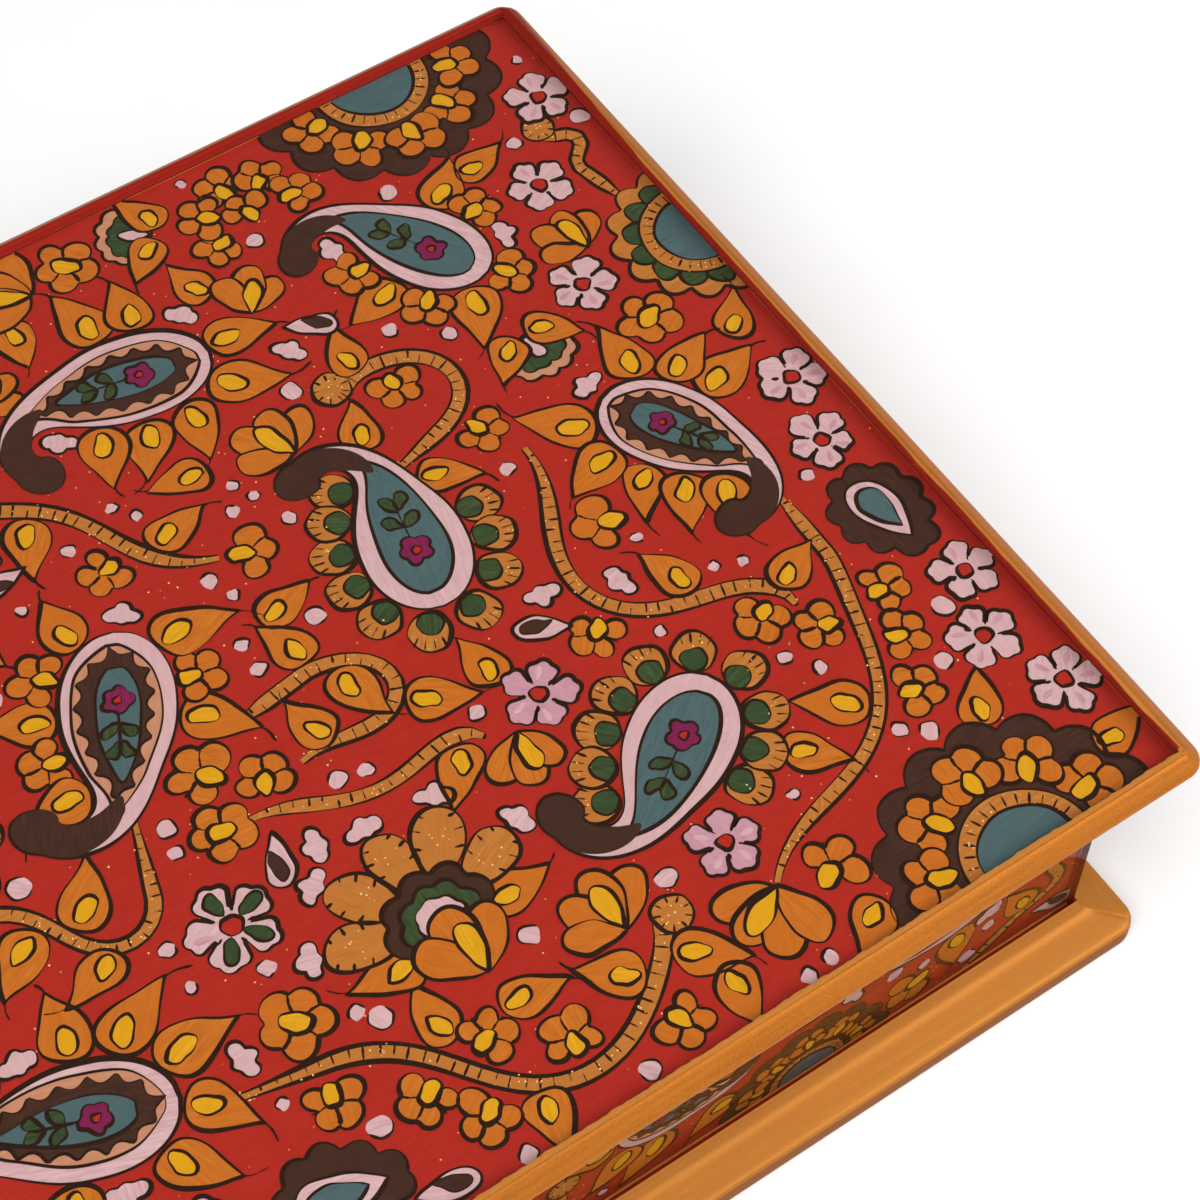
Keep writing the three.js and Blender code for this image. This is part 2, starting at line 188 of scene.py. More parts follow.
# %% [markdown]
# ## Gold paint
# The mouldings carry a craft paint with fine bronze flakes, brushed along the wood. It reads as a
# satin yellow brown with paler and darker streaks, a little shine, and small dark pits where the
# filler over a nail has sunk. The streaks follow the rail, so the pattern reads the rail's own map,
# whose first coordinate runs along the moulding and whose second runs round its profile. The foot
# and the rim's flat top are painted a little paler, as painted highlight, and near the table the
# paint is painted darker and less shiny, as painted shade.
# Along the back, and on the right rail's flat top near the back corner, the red of the painting runs
# out over the wood, so that from the front only a thread of gold shows at the back.

# %% Gold paint
STREAK_LENGTH = 26.0 * MM
STREAK_WIDTH = 0.9 * MM
FLAKE_GRAIN = 0.3 * MM
PIT_SPACING = 10.0 * MM
PIT_RADIUS = 0.42 * MM
CLOUD_SIZE = 14.0 * MM
# Heights of painted light on the gold: painted shade darkens the foot near the table, and a painted highlight
# makes the foot and the rim's flat top paler
LOW_SHADE_HEIGHT = 5.0 * MM
LOW_SHADE_FADE = 0.7 * MM
FOOT_HIGHLIGHT_HEIGHT = 9.2 * MM
TOP_HIGHLIGHT_HEIGHT = 61.8 * MM
BACK_RED_HEIGHT = 61.4 * MM
BACK_RED_PLACE = 94.6 * MM
SIDE_RED_FROM, SIDE_RED_TO = 121.3 * MM, 123.9 * MM
RED_WAVER = 0.35 * MM

gold_paint, gold_tree, gold_place = new_material("satin_gold_paint_on_wood")
rail_map = add_node(gold_tree, "ShaderNodeUVMap", uv_map="along_rail").outputs[0]
streak_scale = (1 / STREAK_LENGTH, 1 / STREAK_WIDTH, 1.0)
streak_map = add_node(gold_tree, "ShaderNodeMapping", {"Vector": rail_map, "Scale": streak_scale})
streak_values = {"Vector": streak_map.outputs[0], "Scale": 1.0, "Detail": 3.0, "Roughness": 0.5}
streaks = add_node(gold_tree, "ShaderNodeTexNoise", streak_values).outputs[0]
cloud_values = {"Vector": gold_place, "Scale": 1 / CLOUD_SIZE, "Detail": 3.0}
clouds = add_node(gold_tree, "ShaderNodeTexNoise", cloud_values).outputs[0]
flake_values = {"Vector": gold_place, "Scale": 1 / FLAKE_GRAIN, "Detail": 2.0}
flakes = add_node(gold_tree, "ShaderNodeTexNoise", flake_values).outputs[0]
pit_values = {"Vector": gold_place, "Scale": 1 / PIT_SPACING, "Randomness": 1.0}
pits = add_node(gold_tree, "ShaderNodeTexVoronoi", pit_values).outputs["Distance"]
x_mark, y_mark, height_mark = add_node(gold_tree, "ShaderNodeSeparateXYZ", (gold_place,)).outputs

# Each coat: its colour, the pattern it follows, from where to where, and its share at both ends
pit_edge = PIT_RADIUS / PIT_SPACING
gold_colour = coat(gold_tree, "#a25a1d", "#b86c24", streaks, 0.3, 0.7)
for code, pattern, low, high, least, most in (
    ("#a96021", clouds, 0.4, 0.7, 0.0, 0.6),
    ("#c67b2f", flakes, 0.35, 0.68, 0.0, 0.5),
    ("#5a3212", pits, 0.5 * pit_edge, pit_edge, 1.0, 0.0),
    # painted highlight: the whole foot is paler, for the light its upward face catches
    ("#cd9049", height_mark, FOOT_HIGHLIGHT_HEIGHT + 0.3 * MM, FOOT_HIGHLIGHT_HEIGHT, 0.0, 0.4),
    # painted highlight: the rim's flat top is paler, as a bright line along the lid
    ("#dc9a52", height_mark, TOP_HIGHLIGHT_HEIGHT, TOP_HIGHLIGHT_HEIGHT + 0.1 * MM, 0.0, 0.3),
    # painted shade: darker near the table
    ("#6f3a10", height_mark, LOW_SHADE_HEIGHT, LOW_SHADE_HEIGHT - LOW_SHADE_FADE, 0.0, 0.7),
):
    gold_colour = coat(gold_tree, gold_colour, code, pattern, low, high, least, most)

# The red that runs out over the back, and over the right rail's top towards the back corner
waver = add_node(gold_tree, "ShaderNodeMapRange", (clouds, 0.2, 0.8, -RED_WAVER, RED_WAVER)).outputs[0]
wavy_height = add_node(gold_tree, "ShaderNodeMath", (height_mark, waver), operation="ADD").outputs[0]
back_red = where_all(
    gold_tree,
    (wavy_height, BACK_RED_HEIGHT, BACK_RED_HEIGHT + 0.25 * MM),
    (y_mark, BACK_RED_PLACE, BACK_RED_PLACE + 0.2 * MM),
)
gold_colour = coat(gold_tree, gold_colour, "#a2231a", back_red, 0.0, 1.0)
limit_values = (y_mark, 52.0 * MM, 96.0 * MM, SIDE_RED_FROM, SIDE_RED_TO)
red_limit = add_node(gold_tree, "ShaderNodeMapRange", limit_values).outputs[0]
past_limit = add_node(gold_tree, "ShaderNodeMath", (x_mark, red_limit), operation="SUBTRACT").outputs[0]
wavy_limit = add_node(gold_tree, "ShaderNodeMath", (past_limit, waver), operation="SUBTRACT").outputs[0]
side_red = where_all(
    gold_tree,
    (wavy_limit, 0.1 * MM, -0.1 * MM),
    (x_mark, 120.8 * MM, 121.0 * MM),
    (y_mark, -95.9 * MM, -95.7 * MM),
    (height_mark, 59.0 * MM, 59.2 * MM),
)
gold_colour = coat(gold_tree, gold_colour, "#8a1c14", side_red, 0.0, 1.0)

# The paint's shine, lowered near the table together with the painted shade there, and the grain of its flakes
shine_values = (height_mark, LOW_SHADE_HEIGHT - LOW_SHADE_FADE, LOW_SHADE_HEIGHT, 0.1, 0.5)
bump_values = {"Height": flakes, "Strength": 0.2, "Distance": 0.06 * MM}
gold_values = {
    "Base Color": gold_colour,
    "Metallic": 0.25,
    "Specular IOR Level": add_node(gold_tree, "ShaderNodeMapRange", shine_values).outputs[0],
    "Specular Tint": linear("#e6a95c"),
    "Roughness": add_node(gold_tree, "ShaderNodeMapRange", (streaks, 0.3, 0.7, 0.42, 0.52)).outputs[0],
    "Normal": add_node(gold_tree, "ShaderNodeBump", bump_values).outputs[0],
}
end_material(gold_tree, gold_values)

# %% [markdown]
# ## Sanded wood
# The boards behind the panes are plain softwood. It shows only on the walls' top edge when the lid
# is up, where the same gold paint covers the lip that holds the panes. Grain runs along each board,
# so the noise is drawn out along it, and the paint is laid on by a mask that reads the height.

# %% Wood
GRAIN_LENGTH = 30.0 * MM
GRAIN_WIDTH = 1.1 * MM
LIP_HEIGHT = 49.9 * MM


def wood_material(name, along_x):
    """Softwood whose grain runs along X or Y, with gold paint on everything above the lip's foot."""
    material, tree, place = new_material(name)
    long_side, short_side = 1 / GRAIN_LENGTH, 1 / GRAIN_WIDTH
    scale = (long_side, short_side, short_side) if along_x else (short_side, long_side, short_side)
    drawn = add_node(tree, "ShaderNodeMapping", {"Vector": place, "Scale": scale}).outputs[0]
    grain_values = {"Vector": drawn, "Scale": 1.0, "Detail": 3.0, "Roughness": 0.6}
    grain = add_node(tree, "ShaderNodeTexNoise", grain_values).outputs[0]
    bare = coat(tree, "#a87b4c", "#c39a68", grain, 0.3, 0.7)
    gilt = coat(tree, "#b4702a", "#d8914a", grain, 0.3, 0.7)
    height = add_node(tree, "ShaderNodeSeparateXYZ", (place,)).outputs["Z"]
    bump_values = {"Height": grain, "Strength": 0.3, "Distance": 0.1 * MM}
    values = {
        "Base Color": coat(tree, bare, gilt, height, LIP_HEIGHT, LIP_HEIGHT + 0.1 * MM),
        "Roughness": add_node(tree, "ShaderNodeMapRange", (grain, 0.2, 0.8, 0.5, 0.7)).outputs[0],
        "Normal": add_node(tree, "ShaderNodeBump", bump_values).outputs[0],
    }
    end_material(tree, values)
    return material


wood_along_x = wood_material("sanded_softwood_along_x", True)
wood_along_y = wood_material("sanded_softwood_along_y", False)

# %% [markdown]
# ## Glass, brass and velvet
# The panes are plain float glass with a trace of green. A lamp's rays pass the pane unbent, so that
# the paint behind it is lit without the grain that caustics bring. The lid's pane takes a slightly
# low index and the sides' panes a very low one, because at their flat angle a full one mirrors the
# white room far more than the photograph shows. The hinges are thin rolled brass, and the inside is
# lined with short black velvet, which is dark face on and pale at its edges.

# %% Glass
LID_IOR = 1.38
SIDE_IOR = 1.1


def glass_material(name, refraction):
    """Clear glass that bends what is seen through it and lets a lamp's rays pass unbent."""
    material, tree, _ = new_material(name)
    values = {"Base Color": linear("#fafffc"), "Roughness": 0.0, "Transmission Weight": 1.0}
    bent = add_node(tree, "ShaderNodeBsdfPrincipled", {**values, "IOR": refraction}).outputs[0]
    unbent = add_node(tree, "ShaderNodeBsdfTransparent", {"Color": linear("#f4f9f6")}).outputs[0]
    lamp_ray = add_node(tree, "ShaderNodeLightPath").outputs["Is Shadow Ray"]
    mix = add_node(tree, "ShaderNodeMixShader", (lamp_ray, bent, unbent))
    add_node(tree, "ShaderNodeOutputMaterial", {"Surface": mix.outputs[0]})
    return material


glass = glass_material("clear_float_glass", LID_IOR)
side_glass = glass_material("clear_glass_under_the_rim", SIDE_IOR)

# %% Brass
BRASS_BLOTCH = 3.0 * MM
brass, brass_tree, brass_place = new_material("rolled_brass")
tarnish_values = {"Vector": brass_place, "Scale": 1 / BRASS_BLOTCH, "Detail": 4.0}
tarnish = add_node(brass_tree, "ShaderNodeTexNoise", tarnish_values).outputs[0]
brass_values = {
    "Base Color": coat(brass_tree, "#c9a75a", "#93743a", tarnish, 0.35, 0.7),
    "Metallic": 1.0,
    "Roughness": add_node(brass_tree, "ShaderNodeMapRange", (tarnish, 0.3, 0.7, 0.24, 0.42)).outputs[0],
}
end_material(brass_tree, brass_values)

# %% Velvet
PILE_SIZE = 0.5 * MM
NAP_SIZE = 22.0 * MM
velvet, velvet_tree, velvet_place = new_material("short_black_velvet")
pile_values = {"Vector": velvet_place, "Scale": 1 / PILE_SIZE, "Detail": 2.0}
pile = add_node(velvet_tree, "ShaderNodeTexNoise", pile_values).outputs[0]
nap_values = {"Vector": velvet_place, "Scale": 1 / NAP_SIZE, "Detail": 3.0}
nap = add_node(velvet_tree, "ShaderNodeTexNoise", nap_values).outputs[0]
pile_bump = {"Height": pile, "Strength": 0.6, "Distance": 0.3 * MM}
velvet_values = {
    "Base Color": coat(velvet_tree, "#151219", "#211d27", nap, 0.35, 0.65),
    "Roughness": 0.95,
    "Specular IOR Level": 0.15,
    "Sheen Weight": 0.6,
    "Sheen Roughness": 0.4,
    "Sheen Tint": linear("#8f8799"),
    "Normal": add_node(velvet_tree, "ShaderNodeBump", pile_bump).outputs[0],
}
end_material(velvet_tree, velvet_values)

# %% [markdown]
# ## Paint on glass
# Each colour is an opaque enamel, seen through the glass, so it has no gloss of its own. The brush
# leaves streaks along each petal: the pattern reads a map whose first coordinate runs along the
# stroke. A share kept on each face, its tint, makes one petal a little redder or paler than the next.

# %% Enamels
BRUSH_LENGTH = 5.0
BRUSH_WIDTH = 0.55
BLOTCH_SIZE = 2.4 * MM


def enamel(name, deep, middle, pale):
    """Opaque glass paint: streaks go from deep to pale, and the face's tint leans to middle."""
    material, tree, place = new_material(name)
    brush = add_node(tree, "ShaderNodeUVMap", uv_map="brush").outputs[0]
    brush_scale = (1 / BRUSH_LENGTH, 1 / BRUSH_WIDTH, 1.0)
    drawn = add_node(tree, "ShaderNodeMapping", {"Vector": brush, "Scale": brush_scale}).outputs[0]
    streak_values = {"Vector": drawn, "Scale": 1.0, "Detail": 3.0, "Roughness": 0.6}
    streak = add_node(tree, "ShaderNodeTexNoise", streak_values).outputs[0]
    blotch_values = {"Vector": place, "Scale": 1 / BLOTCH_SIZE, "Detail": 3.0, "Roughness": 0.65}
    blotch = add_node(tree, "ShaderNodeTexNoise", blotch_values).outputs[0]
    tint = add_node(tree, "ShaderNodeAttribute", attribute_name="tint").outputs["Fac"]
    colour = coat(tree, deep, pale, streak, 0.3, 0.7)
    colour = coat(tree, colour, middle, tint, 0.0, 1.0, 0.2, 0.75)
    colour = coat(tree, colour, deep, blotch, 0.5, 0.8, 0.0, 0.45)
    values = {"Base Color": colour, "Roughness": 0.6, "Specular IOR Level": 0.0}
    end_material(tree, values)
    return material


enamels = {
    "red": enamel("red_ground_enamel", "#891a12", "#921e15", "#9b2419"),
    # painted shade: the thin dark line along the border of the lid's painting
    "edge": enamel("painted_shade_edge_enamel", "#4a0f0a", "#54120c", "#5e150f"),
    "end": enamel("red_brown_pane_end_enamel", "#6e170c", "#7c1c10", "#8a2413"),
    "ink": enamel("black_outline_ink", "#190a04", "#221007", "#2d170d"),
    "orange": enamel("orange_petal_enamel", "#974811", "#a55316", "#b66723"),
    "yellow": enamel("yellow_heart_enamel", "#ac720b", "#ba7e0e", "#c88d1d"),
    "tan": enamel("tan_vine_enamel", "#92501e", "#9e5b25", "#ae6b33"),
    "brown": enamel("dark_brown_enamel", "#2c1811", "#361f16", "#44251b"),
    "teal": enamel("teal_enamel", "#39464a", "#404e52", "#48585c"),
    "pink": enamel("pale_pink_enamel", "#a5777b", "#b3888c", "#c29aa0"),
    "rose": enamel("rose_enamel", "#9a6370", "#a97483", "#b68995"),
    "salmon": enamel("salmon_enamel", "#9c6049", "#a66b54", "#b27a62"),
    "green": enamel("dark_green_enamel", "#1e2818", "#29361f", "#434d2b"),
    "magenta": enamel("magenta_enamel", "#561033", "#66143a", "#7c1d48"),
    "glitter": enamel("glitter_flake", "#c98c48", "#dcae6c", "#f2dcb0"),
}
print("materials:", len(bpy.data.materials))

# %% [markdown]
# ## Surfaces from arrays
# Every new piece is a grid of points: one parameter runs along the piece and the other round its
# profile. numpy works out the whole grid at once, and the faces join each point to its neighbours.


# %% Helpers for shapes
def arc(centre, radii, start, end, count=9):
    """Points on an ellipse: centre plus radii times (cos, sin) of angles from start to end, in degrees."""
    angle = np.radians(np.linspace(start, end, count))
    return np.column_stack([centre[0] + radii[0] * np.cos(angle), centre[1] + radii[1] * np.sin(angle)])


def evenly(path, spacing, closed=False):
    """The same line with its points at even steps, read off against the length run so far."""
    line = np.vstack([path, path[:1]]) if closed else path
    steps = np.linalg.norm(np.diff(line, axis=0), axis=1)
    run = np.concatenate([[0.0], np.cumsum(steps)])
    count = max(int(round(run[-1] / spacing)), 4)
    stops = np.linspace(0.0, run[-1], count + 1)
    if closed:
        stops = stops[:-1]
    return np.column_stack([np.interp(stops, run, line[:, k]) for k in range(2)])


def left_of(path, closed=False):
    """The unit vector to the left of a line at each of its points."""
    if closed:
        ahead = np.roll(path, -1, axis=0) - np.roll(path, 1, axis=0)
    else:
        ahead = np.gradient(path, axis=0)
    ahead = ahead / (np.linalg.norm(ahead, axis=1, keepdims=True) + 1e-9)
    return np.column_stack([-ahead[:, 1], ahead[:, 0]])


def box_in_mm(node):
    """The lowest and the highest corner of one of the frame's solids, in millimetres."""
    return np.array(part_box(node)) / MM


def quarter_turned(x, y, turn):
    """A place on the front side turned by quarter turns, anticlockwise from above: (x c - y s, x s + y c)."""
    c, s = np.cos(turn * np.pi / 2), np.sin(turn * np.pi / 2)
    return x * c - y * s, x * s + y * c


def mesh_piece(name, points, faces, materials, map_name="", place_on_map=None, smooth=False):
    """A piece from points in millimetres and its faces. A map gives each point a place on a pattern."""
    mesh = bpy.data.meshes.new(name)
    mesh.from_pydata(points * MM, [], faces)
    for material in materials:
        mesh.materials.append(material)
    if map_name:
        corners = np.zeros(len(mesh.loops), np.int32)
        mesh.loops.foreach_get("vertex_index", corners)
        uv = place_on_map[corners].ravel().astype(np.float32)
        mesh.uv_layers.new(name=map_name).data.foreach_set("uv", uv)
    if smooth:
        mesh.polygons.foreach_set("use_smooth", np.ones(len(mesh.polygons), bool))
    return bpy.data.objects.new(name, mesh)


def finish_piece(piece, body, replaced=()):
    """Links a piece into the scene, on its body, and hides the frame's solids that it replaces."""
    scene.collection.objects.link(piece)
    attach(piece, body)
    if replaced:
        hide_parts(*replaced)
    return piece


def grid_faces(rows, columns, closed_columns):
    """Four corners for each cell of a grid whose points are numbered row by row."""
    last = columns if closed_columns else columns - 1
    row, column = np.meshgrid(np.arange(rows - 1), np.arange(last), indexing="ij")
    following = (column + 1) % columns
    corners = [row * columns + column, (row + 1) * columns + column]
    corners += [(row + 1) * columns + following, row * columns + following]
    return np.stack(corners, axis=-1).reshape(-1, 4)


# %% [markdown]
# ## Mouldings
# A joiner planes the profile along a strip, cuts the strip's ends at 45 degrees and glues four of
# them round the box. Here each rail is its profile carried along one side of a rounded rectangle.
# The line that starts further in has the smaller corner, and past the corner's radius it is sharp.
# Sanding and paint leave the arrises soft and the faces slightly uneven, and the mitres show as a
# faint groove. A modelled form takes the light better there than a bump, which would keep the facets.

# %% Sizes of the mouldings, in millimetres
CORNER_RADIUS = 4.0
LEAST_RADIUS = 0.02
PROFILE_STEP = 0.42
ARRIS_SPAN = 2
UNEVENNESS = 0.03
MITRE_GROOVE = 0.07
MITRE_WIDTH = 0.4
MITRE_GAP = 0.04
NEAR_MITRE = 6.0
STATION_STEP = 1.3
PANE_GAP = 0.3
MOST_ROUNDING = 0.25
SHARP_ANGLE = np.radians(50)

# The pattern of the paint starts elsewhere on each side
MAP_SHIFT_ALONG, MAP_SHIFT_AROUND = 300.0, 40.0

foot_right, foot_back = box_in_mm("base_rail_right"), box_in_mm("base_rail_back")
lid_right, lid_back = box_in_mm("lid_rail_right"), box_in_mm("lid_rail_back")
glass_high = box_in_mm("lid_glass")[1]
LID_BOTTOM, LID_TOP = lid_right[:, 2]
LID_HALF = (lid_right[1, 0], lid_back[1, 1])
FOOT_HALF = (foot_right[1, 0], foot_back[1, 1])
REBATE = box_in_mm("lid_board")[1, 2]
GLASS_INSET = LID_HALF[0] - glass_high[0] - PANE_GAP

# Each profile goes round anticlockwise, as (distance in from the outermost line, height)
rim_profile = np.vstack([
    [(GLASS_INSET, REBATE), (GLASS_INSET, LID_TOP), (2.8, LID_TOP)],
    [(0.36, 59.88)],
    arc((0.4, 59.45), (0.4, 0.4), 125, 180, 4),
    arc((0.5, 58.95), (0.5, 0.55), 180, 270, 5),
    [(1.2, 58.2)],
    arc((1.2, 53.4), (7.4, 4.8), 90, 0, 15),
    [(8.6, LID_BOTTOM), (20.0, LID_BOTTOM), (20.0, LID_BOTTOM + 2.3)],
    [(16.0, LID_BOTTOM + 2.3), (16.0, REBATE)],
])
foot_profile = np.vstack([
    [(8.4, 5.3), (8.4, 8.9), (7.95, 8.9)],
    arc((5.4, 8.9), (2.55, 2.9), 0, -90, 9),
    [(0.7, 5.35)],
    arc((0.5, 4.8), (0.5, 0.5), 90, 180, 5),
    [(0.0, 0.5), (0.5, 0.0), (13.7, 0.0), (13.7, 5.3)],
])


def soft_arrises(profile):
    """The closed profile at even steps, each point the mean of its neighbours, so corners go round."""
    even = evenly(profile, PROFILE_STEP, closed=True)
    shifts = range(-ARRIS_SPAN, ARRIS_SPAN + 1)
    weights = np.array([ARRIS_SPAN + 1 - abs(k) for k in shifts], float)
    blurred = sum(w * np.roll(even, k, axis=0) for w, k in zip(weights, shifts)) / weights.sum()
    turn = np.linalg.norm(blurred - even, axis=1, keepdims=True)
    return even + (blurred - even) * np.minimum(1.0, MOST_ROUNDING / (turn + 1e-9))


def stations(half_length, extra=()):
    """Places along a rail's straight part, closer together near the mitres, as (share, offset)."""
    from_end = np.array([0.0, 0.15, 0.35, 0.7, 1.3, 2.4, 4.0])
    count = int(half_length / STATION_STEP)
    share = np.concatenate([-np.ones(len(from_end)), np.linspace(-1.0, 1.0, count), np.ones(len(from_end))])
    offset = np.concatenate([from_end - NEAR_MITRE, np.zeros(count), NEAR_MITRE - from_end[::-1]])
    if len(extra):
        places = np.array(extra) / (half_length - NEAR_MITRE)
        share = np.concatenate([share, places])
        offset = np.concatenate([offset, np.zeros(len(places))])
        order = np.argsort(share * (half_length - NEAR_MITRE) + offset, kind="stable")
        share, offset = share[order], offset[order]
    return share, offset


def rail_points(profile, half_length, half_across, extra=(), seed=0, notch=None):
    """The front rail of a rounded rectangle.
    A profile point that lies v further in follows the outline with corners of radius R - v: straight
    along the side, then round the corner's arc as far as 45 degrees, where the mitre is. Slow waves
    move each point along the profile's normal, and a bell-shaped groove lies on each mitre."""
    inset, height = profile[None, :, 0], profile[None, :, 1]
    radius = np.maximum(CORNER_RADIUS - inset, LEAST_RADIUS)
    share, offset = stations(half_length - CORNER_RADIUS, extra)
    straight = half_length - np.maximum(inset, CORNER_RADIUS)
    along = share[:, None] * (straight - NEAR_MITRE) + offset[:, None]
    across = np.repeat(-(half_across - inset), len(share), axis=0)
    turns = np.radians(np.linspace(9.0, 45.0, 5))[:, None]
    round_x = straight + radius * np.sin(turns)
    round_y = -(half_across - inset - radius) - radius * np.cos(turns)
    x = np.vstack([-round_x[::-1], along, round_x])
    y = np.vstack([round_y[::-1], across, round_y])
    z = np.repeat(height, len(x), axis=0)
    outward = -left_of(profile, closed=True)
    rng = np.random.default_rng(seed)
    phase = rng.uniform(0, 2 * np.pi, 6)
    round_profile = np.arange(len(profile))[None, :] * PROFILE_STEP
    wave = np.zeros(x.shape)
    for k, (strength, length, girth) in enumerate(((1.0, 23, 11), (0.6, 9.1, 7), (0.25, 3.7, 5))):
        along_wave = np.sin(x / length + phase[2 * k])
        wave += strength * along_wave * np.sin(round_profile / girth + phase[2 * k + 1])
    from_mitre = np.abs(half_length - np.abs(x) - (half_across - np.abs(y)))
    groove = MITRE_GROOVE * np.exp(-((from_mitre / MITRE_WIDTH) ** 2))
    push = UNEVENNESS * (wave - 2.0) - groove
    y = y + push * outward[None, :, 0]
    z = np.maximum(z + push * outward[None, :, 1], profile[:, 1].min())
    x = x * (1 - MITRE_GAP / half_length)
    if notch is not None:
        z = notch(x, y, z)
    return np.stack([x, y, z], axis=-1)


def rail_object(name, points, turn, material):
    """A rail as a closed mesh: a band of faces round the profile and one flat face at each mitre.
    turn is the number of quarter turns from the front side, anticlockwise from above."""
    rows, columns = points.shape[:2]
    x, y, z = points[..., 0], points[..., 1], points[..., 2]
    turned = np.stack([*quarter_turned(x, y, turn), z], axis=-1).reshape(-1, 3)
    band = grid_faces(rows, columns, closed_columns=True)[:, ::-1]
    first = np.arange(columns)
    last = first[::-1] + (rows - 1) * columns
    faces = band.tolist() + [first.tolist(), last.tolist()]
    run = np.concatenate([[0], np.cumsum(np.linalg.norm(np.diff(points[0], axis=0), axis=1))])
    around = np.broadcast_to(run[None, :], (rows, columns))
    uv = np.stack([x + MAP_SHIFT_ALONG * turn, around + MAP_SHIFT_AROUND * turn], axis=-1).reshape(-1, 2) * MM
    rail = mesh_piece(name, turned, faces, [material], "along_rail", uv, smooth=True)
    rail.data.set_sharp_from_angle(angle=SHARP_ANGLE)
    return rail


# %% [markdown]
# The lid's back rail makes room for the hinges: a shallow mortise for each leaf and a deeper notch
# for its barrel. On the grid this is one rule: inside the hinge's length, what lies lower than the
# notch's roof is raised to it. Extra stations just inside and outside make the notch's ends upright.

# %% Hinge notches
hinge_ends = np.array([box_in_mm(f"hinge_{side}_moving_leaf")[:, 0] for side in ("left", "right")])
leaf_low, leaf_high = box_in_mm("hinge_left_moving_leaf")
screw_face = box_in_mm("hinge_left_moving_screw_1")[0, 2]
MORTISE_DEPTH = 0.85
BARREL_RADIUS = 1.9
BARREL_MIDDLE = leaf_high[1] - BARREL_RADIUS
BARREL_ROOM = 2.3
LEAF_ROOM = 0.12
NOTCH_SIDE = 0.05
notch_edges = np.sort(np.concatenate([hinge_ends.ravel() - NOTCH_SIDE, hinge_ends.ravel() + NOTCH_SIDE]))


def hinge_notch(x, y, z):
    """Raises what lies under a hinge: to the leaf's roof beside the barrel, and higher over the barrel.
    The front rail's pattern is turned by half a turn for the back, so x and y change sign."""
    inside = np.zeros(x.shape, bool)
    for low, high in hinge_ends:
        inside |= (x > -high - 0.5 * NOTCH_SIDE) & (x < -low + 0.5 * NOTCH_SIDE)
    back = -y
    over_leaf = (back > leaf_low[1] - LEAF_ROOM) & (back < BARREL_MIDDLE)
    over_barrel = np.abs(back - BARREL_MIDDLE) < BARREL_ROOM
    roof = np.where(over_barrel, leaf_high[2] + BARREL_RADIUS, screw_face + MORTISE_DEPTH)
    lift = inside & (over_leaf | over_barrel) & (z < roof)
    return np.where(lift, roof, z)


# %% Rails of the lid and the foot
SIDES = ("front", "right", "back", "left")
rim_line = soft_arrises(rim_profile)
foot_line = soft_arrises(foot_profile)
rail_pieces = []
for turn, side in enumerate(SIDES):
    long_side = turn % 2 == 0
    for kind, body, line, half in (
        ("lid_rail", "lid", rim_line, LID_HALF),
        ("base_rail", "case", foot_line, FOOT_HALF),
    ):
        half_length, half_across = half if long_side else half[::-1]
        notched = kind == "lid_rail" and side == "back"
        extra, notch = (notch_edges, hinge_notch) if notched else ((), None)
        seed = turn + 10 * (body == "lid")
        grid = rail_points(line, half_length, half_across, extra, seed=seed, notch=notch)
        rail = rail_object(f"painted_{kind}_{side}", grid, turn, gold_paint)
        rail_pieces.append(finish_piece(rail, body, [f"{kind}_{side}"]))
print("rails:", len(rail_pieces), "faces:", sum(len(rail.data.polygons) for rail in rail_pieces))

# %% [markdown]
# ## The painter's hand
# A pane is painted in millimetres on its own plane. Every stroke is one of two things: a filled
# outline, or a line of ink whose width swells and thins as the brush is pressed. The paint lies in
# thin coats, so each stroke has a level, and a stroke with a higher level lies nearer to the viewer.
# A coarse map of what is covered tells the painter where there is still room for a flower.

# %% Strokes on a pane
COAT = 0.025
HAIR = 0.09
GOLDEN_STEP = 0.618034
INK_WIDTH = 0.61
INK_STEP = 0.5
OUTLINE_STEP = 0.6
MAP_CELL = 0.9
MAP_MARGIN = 14
SNUG_BAND = 1.3

# Levels, from the ground up, and the small step between the coats of one motif
VINE_LEVEL = 1.0
LEAF_LEVEL = 2.0
BLOSSOM_LEVEL = 3.4
PAISLEY_LEVEL = 6.0
FINE = 0.12


def smoothstep(value, low, high):
    """0 below low, 1 above high, and 3 t^2 - 2 t^3 in between."""
    t = np.clip((value - low) / (high - low), 0.0, 1.0)
    return t * t * (3 - 2 * t)


def placed(points, at, turn=0.0, size=1.0):
    """Points turned about their origin by turn, scaled by size and moved to at."""
    c, s = np.cos(turn), np.sin(turn)
    return size * points @ np.array([[c, s], [-s, c]]) + np.asarray(at, float)


def toward(way):
    """The unit vector in the direction way: (cos way, sin way)."""
    return np.array([np.cos(way), np.sin(way)])


def way_of(vector):
    """The direction of a vector, as an angle."""
    return np.arctan2(vector[1], vector[0])


def between(left, right, step):
    """The outline between two lines that run side by side, with its points at even steps."""
    return evenly(np.vstack([left, right[::-1]]), step, closed=True)


def signed_area(outline):
    """Half the sum of the cross products of neighbouring points: positive if it goes anticlockwise."""
    x, y = outline[:, 0], outline[:, 1]
    return 0.5 * np.sum(x * np.roll(y, -1) - np.roll(x, -1) * y)


def inside(points, outline):
    """True for a point from which a line to the right crosses the outline an odd number of times."""
    x, y = points[:, :1], points[:, 1:]
    ax, ay = outline[:, 0], outline[:, 1]
    bx, by = np.roll(ax, -1), np.roll(ay, -1)
    crosses = (ay > y) != (by > y)
    rise = np.where(by == ay, 1.0, by - ay)
    return (crosses & (x < ax + (y - ay) * (bx - ax) / rise)).sum(axis=1) % 2 == 1


